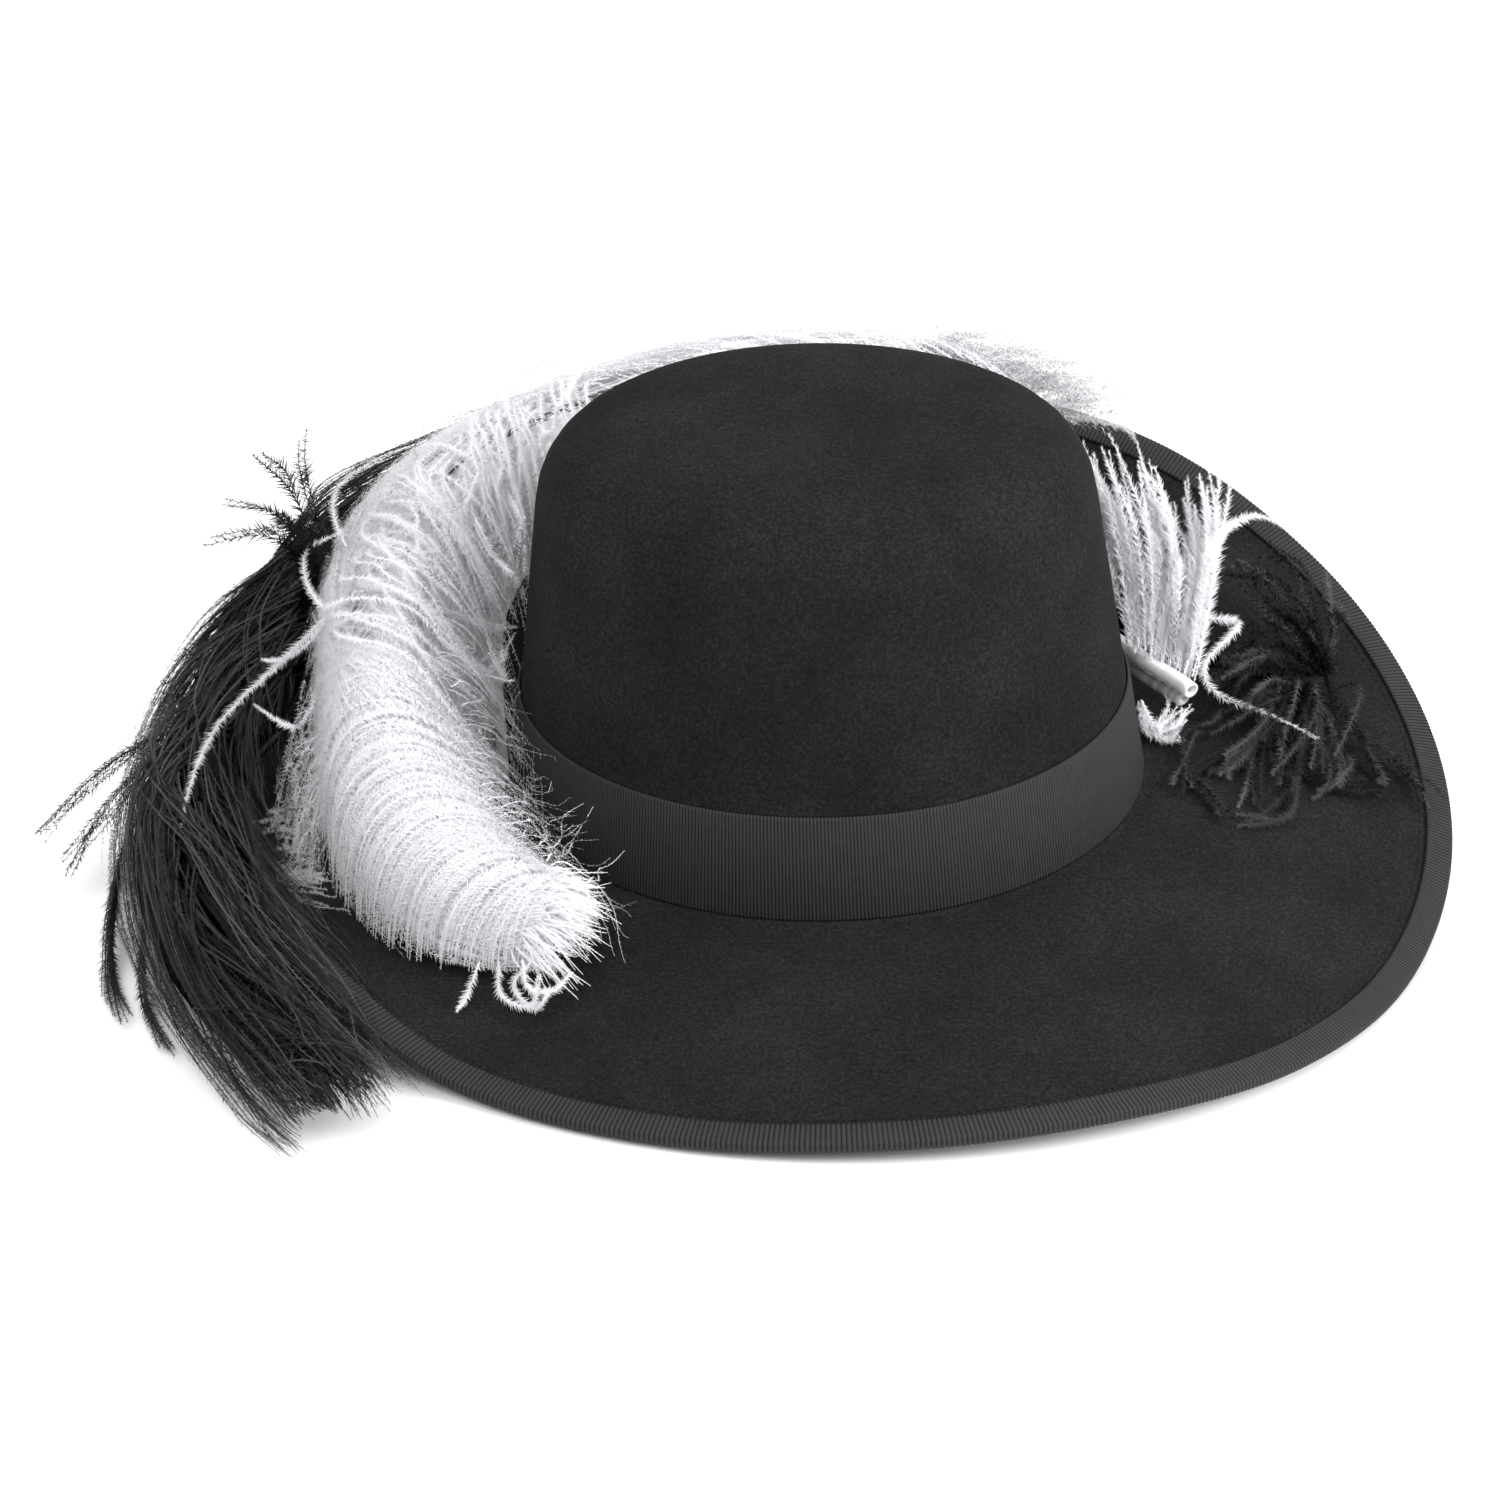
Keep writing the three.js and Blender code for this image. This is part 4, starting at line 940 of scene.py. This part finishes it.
looseTips = [
    [(160, 0.84, 0.16), (161, 0.76, 0.38), (158, 0.84, 0.53), (152, 1.0, 0.55)],
    [(160, 0.86, 0.16), (162, 0.77, 0.37), (160, 0.86, 0.53), (157, 1.06, 0.55)],
    [(162, 0.84, 0.16), (164, 0.76, 0.36), (165, 0.84, 0.51), (167, 1.0, 0.55)],
    [(162, 0.86, 0.15), (164, 0.78, 0.34), (166, 0.86, 0.47), (167, 1.04, 0.45)],
    [(163, 0.84, 0.15), (165, 0.72, 0.35), (167, 0.74, 0.48), (168, 0.8, 0.54)],
    [(159, 0.82, 0.16), (161, 0.72, 0.34), (162, 0.78, 0.44), (164, 0.92, 0.45)],
]
strayTips = [
    [(184, 1.1, 0.14), (187, 1.28, 0.09), (190, 1.49, -0.02)],
    [(186, 1.1, 0.12), (191, 1.26, 0.05), (195, 1.4, -0.02)],
    [(197, 1.2, 0.1), (204, 1.33, 0.0), (212, 1.43, -0.1)],
    [(200, 1.25, 0.06), (208, 1.38, -0.04), (215, 1.44, -0.11)],
    [(205, 1.2, 0.08), (213, 1.34, -0.03), (221, 1.42, -0.12)],
]

# Fans at the quills' ends: even rows of roots and of tips.
whiteFan = dict(count=74, roots=[(24, 0.04, 0.19), (16, 0.2, 0.12)],
                tips=[(46, 0.12, 0.62), (36, 0.5, 0.52)], bow=(1, 0.03, 0.03), jitter=0.07, least=0.55)
tipFans = [
    dict(count=85, roots=[(233, 0.44, 0.23), (238, 0.42, 0.2)],
         tips=[(235.5, 0.26, 0.14), (243.5, 0.31, 0.18)], bow=(0, 0, 0.02), jitter=0.035, least=0.75),
    dict(count=85, roots=[(237, 0.44, 0.2), (239, 0.5, 0.17)], tips=[(243.5, 0.29, 0.19), (248, 0.44, 0.16)],
         bow=(0, 0, 0.02), jitter=0.045, least=0.6),
    dict(count=85, roots=[(238, 0.47, 0.19), (237, 0.56, 0.13)], tips=[(248, 0.44, 0.14), (244.5, 0.6, 0.04)],
         bow=(0, 0, 0.02), jitter=0.045, least=0.6),
]
hazeFan = dict(count=300, roots=[(84, 0.28, 0.62), (60, 0.2, 0.56)],
               tips=[(73, 0.52, 0.68), (45, 0.44, 0.63)], bow=(0, 0.02, 0.03), jitter=0.07, least=0.6)
rimFan = dict(count=30, roots=[(30, 0.04, 0.2), (40, 0.04, 0.3)], tips=[(42, 0.12, 0.56), (50, 0.2, 0.62)],
              bow=(0, 0.02, 0.02), jitter=0.04, least=0.7)
blackFans = [
    dict(count=26, roots=[(22, 0.66, 0.0), (20, 0.72, 0.0)], tips=[(33, 0.45, 0.16), (30, 0.78, 0.14)],
         bow=(0, 0.0, 0.03), jitter=0.08, least=0.5),
    dict(count=20, roots=[(20, 0.5, 0.02), (16, 0.62, 0.0)], tips=[(-6, 0.2, 0.0), (2, 0.72, -0.06)],
         bow=(2, 0.05, 0.03), jitter=0.1, least=0.4),
    dict(count=16, roots=[(22, 0.62, 0.01), (18, 0.6, 0.01)], tips=[(24, 0.3, 0.08), (8, 0.24, 0.02)],
         bow=(0, 0.0, 0.04), jitter=0.08, least=0.5),
]


def combed(plume, layers, names, look):
    return [(comb(plume, layers[name]), look) for name in names]


def singles(group, copies, spread, look):
    return [(single(rows, copies, spread), look) for rows in group]


def sprays(group, look):
    return [(spray(**fan), look) for fan in group]


# The random numbers are drawn in the order of these sets.
whiteSets = dict(
    whiteBarbsBody=combed(whitePlume, whiteLayers, ["body"], dense),
    whiteBarbsMane=combed(whitePlume, whiteLayers, ["mane", "back"], sleek),
    whiteBarbsEdge=combed(whitePlume, whiteLayers, ["drape", "tuft"], dense)
    + combed(whitePlume, whiteLayers, ["between"], fine) + combed(whitePlume, whiteLayers, ["fringe"], wisp),
    whiteWisps=combed(whitePlume, whiteLayers, ["lace"], clear)
    + singles(leftWisps[:1] + quillWisps[:2], 2, 0.008, bold)
    + singles(leftWisps[1:] + quillWisps[3:] + tipCurls, 2, 0.008, clear)
    + singles(quillWisps[2:3], 14, 0.05, clear) + singles(hookWisps, 3, 0.03, clear)
    + sprays([whiteFan, rimFan], web) + sprays(tipFans, brush),
)
for name, sets in whiteSets.items():
    piece = makeStrands(name, sets, barbs["whiteBarb"])
    if name == "whiteBarbsBody":
        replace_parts(piece, "white_plume")
# The wall's strands take the greyer copy: painted shade where the crown shades them.
makeStrands("whiteWall", [(comb(whitePlume, wallLayer), sleek)], barbs["shadedWallBarb"])
# The haze takes the greyer copy: painted shade that keeps it off pure white.
makeStrands("whiteHaze", sprays([hazeFan], soft), barbs["shadedHazeBarb"])
makeCore("whiteCore", whitePlume, whiteCore, barbs["whiteDown"])
makeCore("whiteWallCore", whitePlume, wallCore, barbs["whiteDown"])
makeQuill("whiteQuill", whiteShaft, whiteQuill, barbs["ivoryQuill"])
makeQuill("brownQuill", whiteShaft, brownQuill, barbs["hornQuill"])

blackSets = combed(blackPlume, blackLayers, ["top"], blade)
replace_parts(makeStrands("blackBarbsTop", blackSets, barbs["blackBarb"]), "black_plume")
blackSets = combed(blackPlume, blackLayers, ["outer", "inner", "end"], blade)
makeStrands("blackBarbsSides", blackSets, barbs["blackBarb"])
blackSets = singles(fluffWisps, 4, 0.045, fluffy) + sprays(blackFans, fluffy)
makeStrands("blackWisps", blackSets, barbs["softBlack"])
blackSets = singles(looseTips, 2, 0.03, fern) + singles(strayTips, 8, 0.03, spike)
makeStrands("blackTips", blackSets, barbs["blackBarb"])
makeCore("blackCore", blackPlume, blackCore, barbs["blackDown"])
makeQuill("blackQuill", blackShaft, blackQuill, barbs["blackDown"])
print("stage: plumes")


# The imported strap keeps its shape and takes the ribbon's finish.
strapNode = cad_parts["plume_strap"]
strapNode.data.materials.clear()
strapNode.data.materials.append(blackRibbon)


# Stage, lights and camera

stage = dict(size=6.0, drop=0.0005, colour=(0.94, 0.94, 0.94), roughness=0.9, ambient=0.5, aimHeight=0.06)
half = stage["size"] / 2
corners = [(x * half, y * half, -stage["drop"]) for x, y in ((-1, -1), (1, -1), (1, 1), (-1, 1))]
floorMesh = bpy.data.meshes.new("floor")
floorMesh.from_pydata(corners, [], [(0, 1, 2, 3)])
floor = bpy.data.objects.new("floor", floorMesh)
bpy.context.scene.collection.objects.link(floor)
floorMaterial, *_ = newMaterial("paleFloor", stage["colour"], stage["roughness"])
floorMesh.materials.append(floorMaterial)

world = bpy.data.worlds.new("studio")
world.use_nodes = True
world.node_tree.nodes["Background"].inputs["Color"].default_value = (1, 1, 1, 1)
world.node_tree.nodes["Background"].inputs["Strength"].default_value = stage["ambient"]
bpy.context.scene.world = world
bpy.context.scene.view_settings.view_transform = "Standard"

# Each lamp is an area light that points at the middle of the hat.
lamps = dict(
    front=dict(place=(-0.5, -1.1, 1.4), size=1.2, power=26),
    right=dict(place=(1.5, -0.5, 0.8), size=0.9, power=38),
    back=dict(place=(0.2, 1.4, 1.3), size=1.4, power=16),
    top=dict(place=(0.1, 0.1, 2.1), size=1.6, power=14),
)
for name, lamp in lamps.items():
    data = bpy.data.lights.new(name, "AREA")
    data.size, data.energy = lamp["size"], lamp["power"]
    light = bpy.data.objects.new(name, data)
    light.location = lamp["place"]
    way = np.array((0, 0, stage["aimHeight"])) - np.array(lamp["place"])
    tip, turn = math.acos(-way[2] / np.linalg.norm(way)), math.atan2(way[1], way[0]) + 1.5 * math.pi
    light.rotation_euler = (tip, 0, turn)
    bpy.context.scene.collection.objects.link(light)

# The photograph's view, fitted in the upright hat's own frame.
view = dict(distance=1.5, elevation=34.165, round=6.657, roll=-2.845, lens=109.2, aimFront=-0.02571,
            aimFar=0.00819, sensor=36, farClip=50)


# Camera: carried round the vertical, raised, rolled, and then turned into the hat's rest with it.
def makeCamera(view):
    a, e, r = (math.radians(view[k]) for k in ("round", "elevation", "roll"))
    right = np.array([math.cos(a), math.sin(a), 0])
    back = np.array([math.sin(a) * math.cos(e), -math.cos(a) * math.cos(e), math.sin(e)])
    above = np.cross(back, right)
    x = right * math.cos(r) + above * math.sin(r)
    y = -right * math.sin(r) + above * math.cos(r)
    spot = np.array([view["aimFront"], view["aimFar"], 0]) + view["distance"] * back
    turn = restTurn @ np.stack([x, y, back], axis=1)
    data = bpy.data.cameras.new("camera")
    data.lens, data.sensor_width, data.clip_end = view["lens"], view["sensor"], view["farClip"]
    camera = bpy.data.objects.new("camera", data)
    bpy.context.scene.collection.objects.link(camera)
    matrix = np.eye(4)
    matrix[:3, :3], matrix[:3, 3] = turn, setDown(spot)
    camera.matrix_world = mathutils.Matrix(matrix.tolist())
    bpy.context.scene.camera = camera


makeCamera(view)
print("stage: camera")
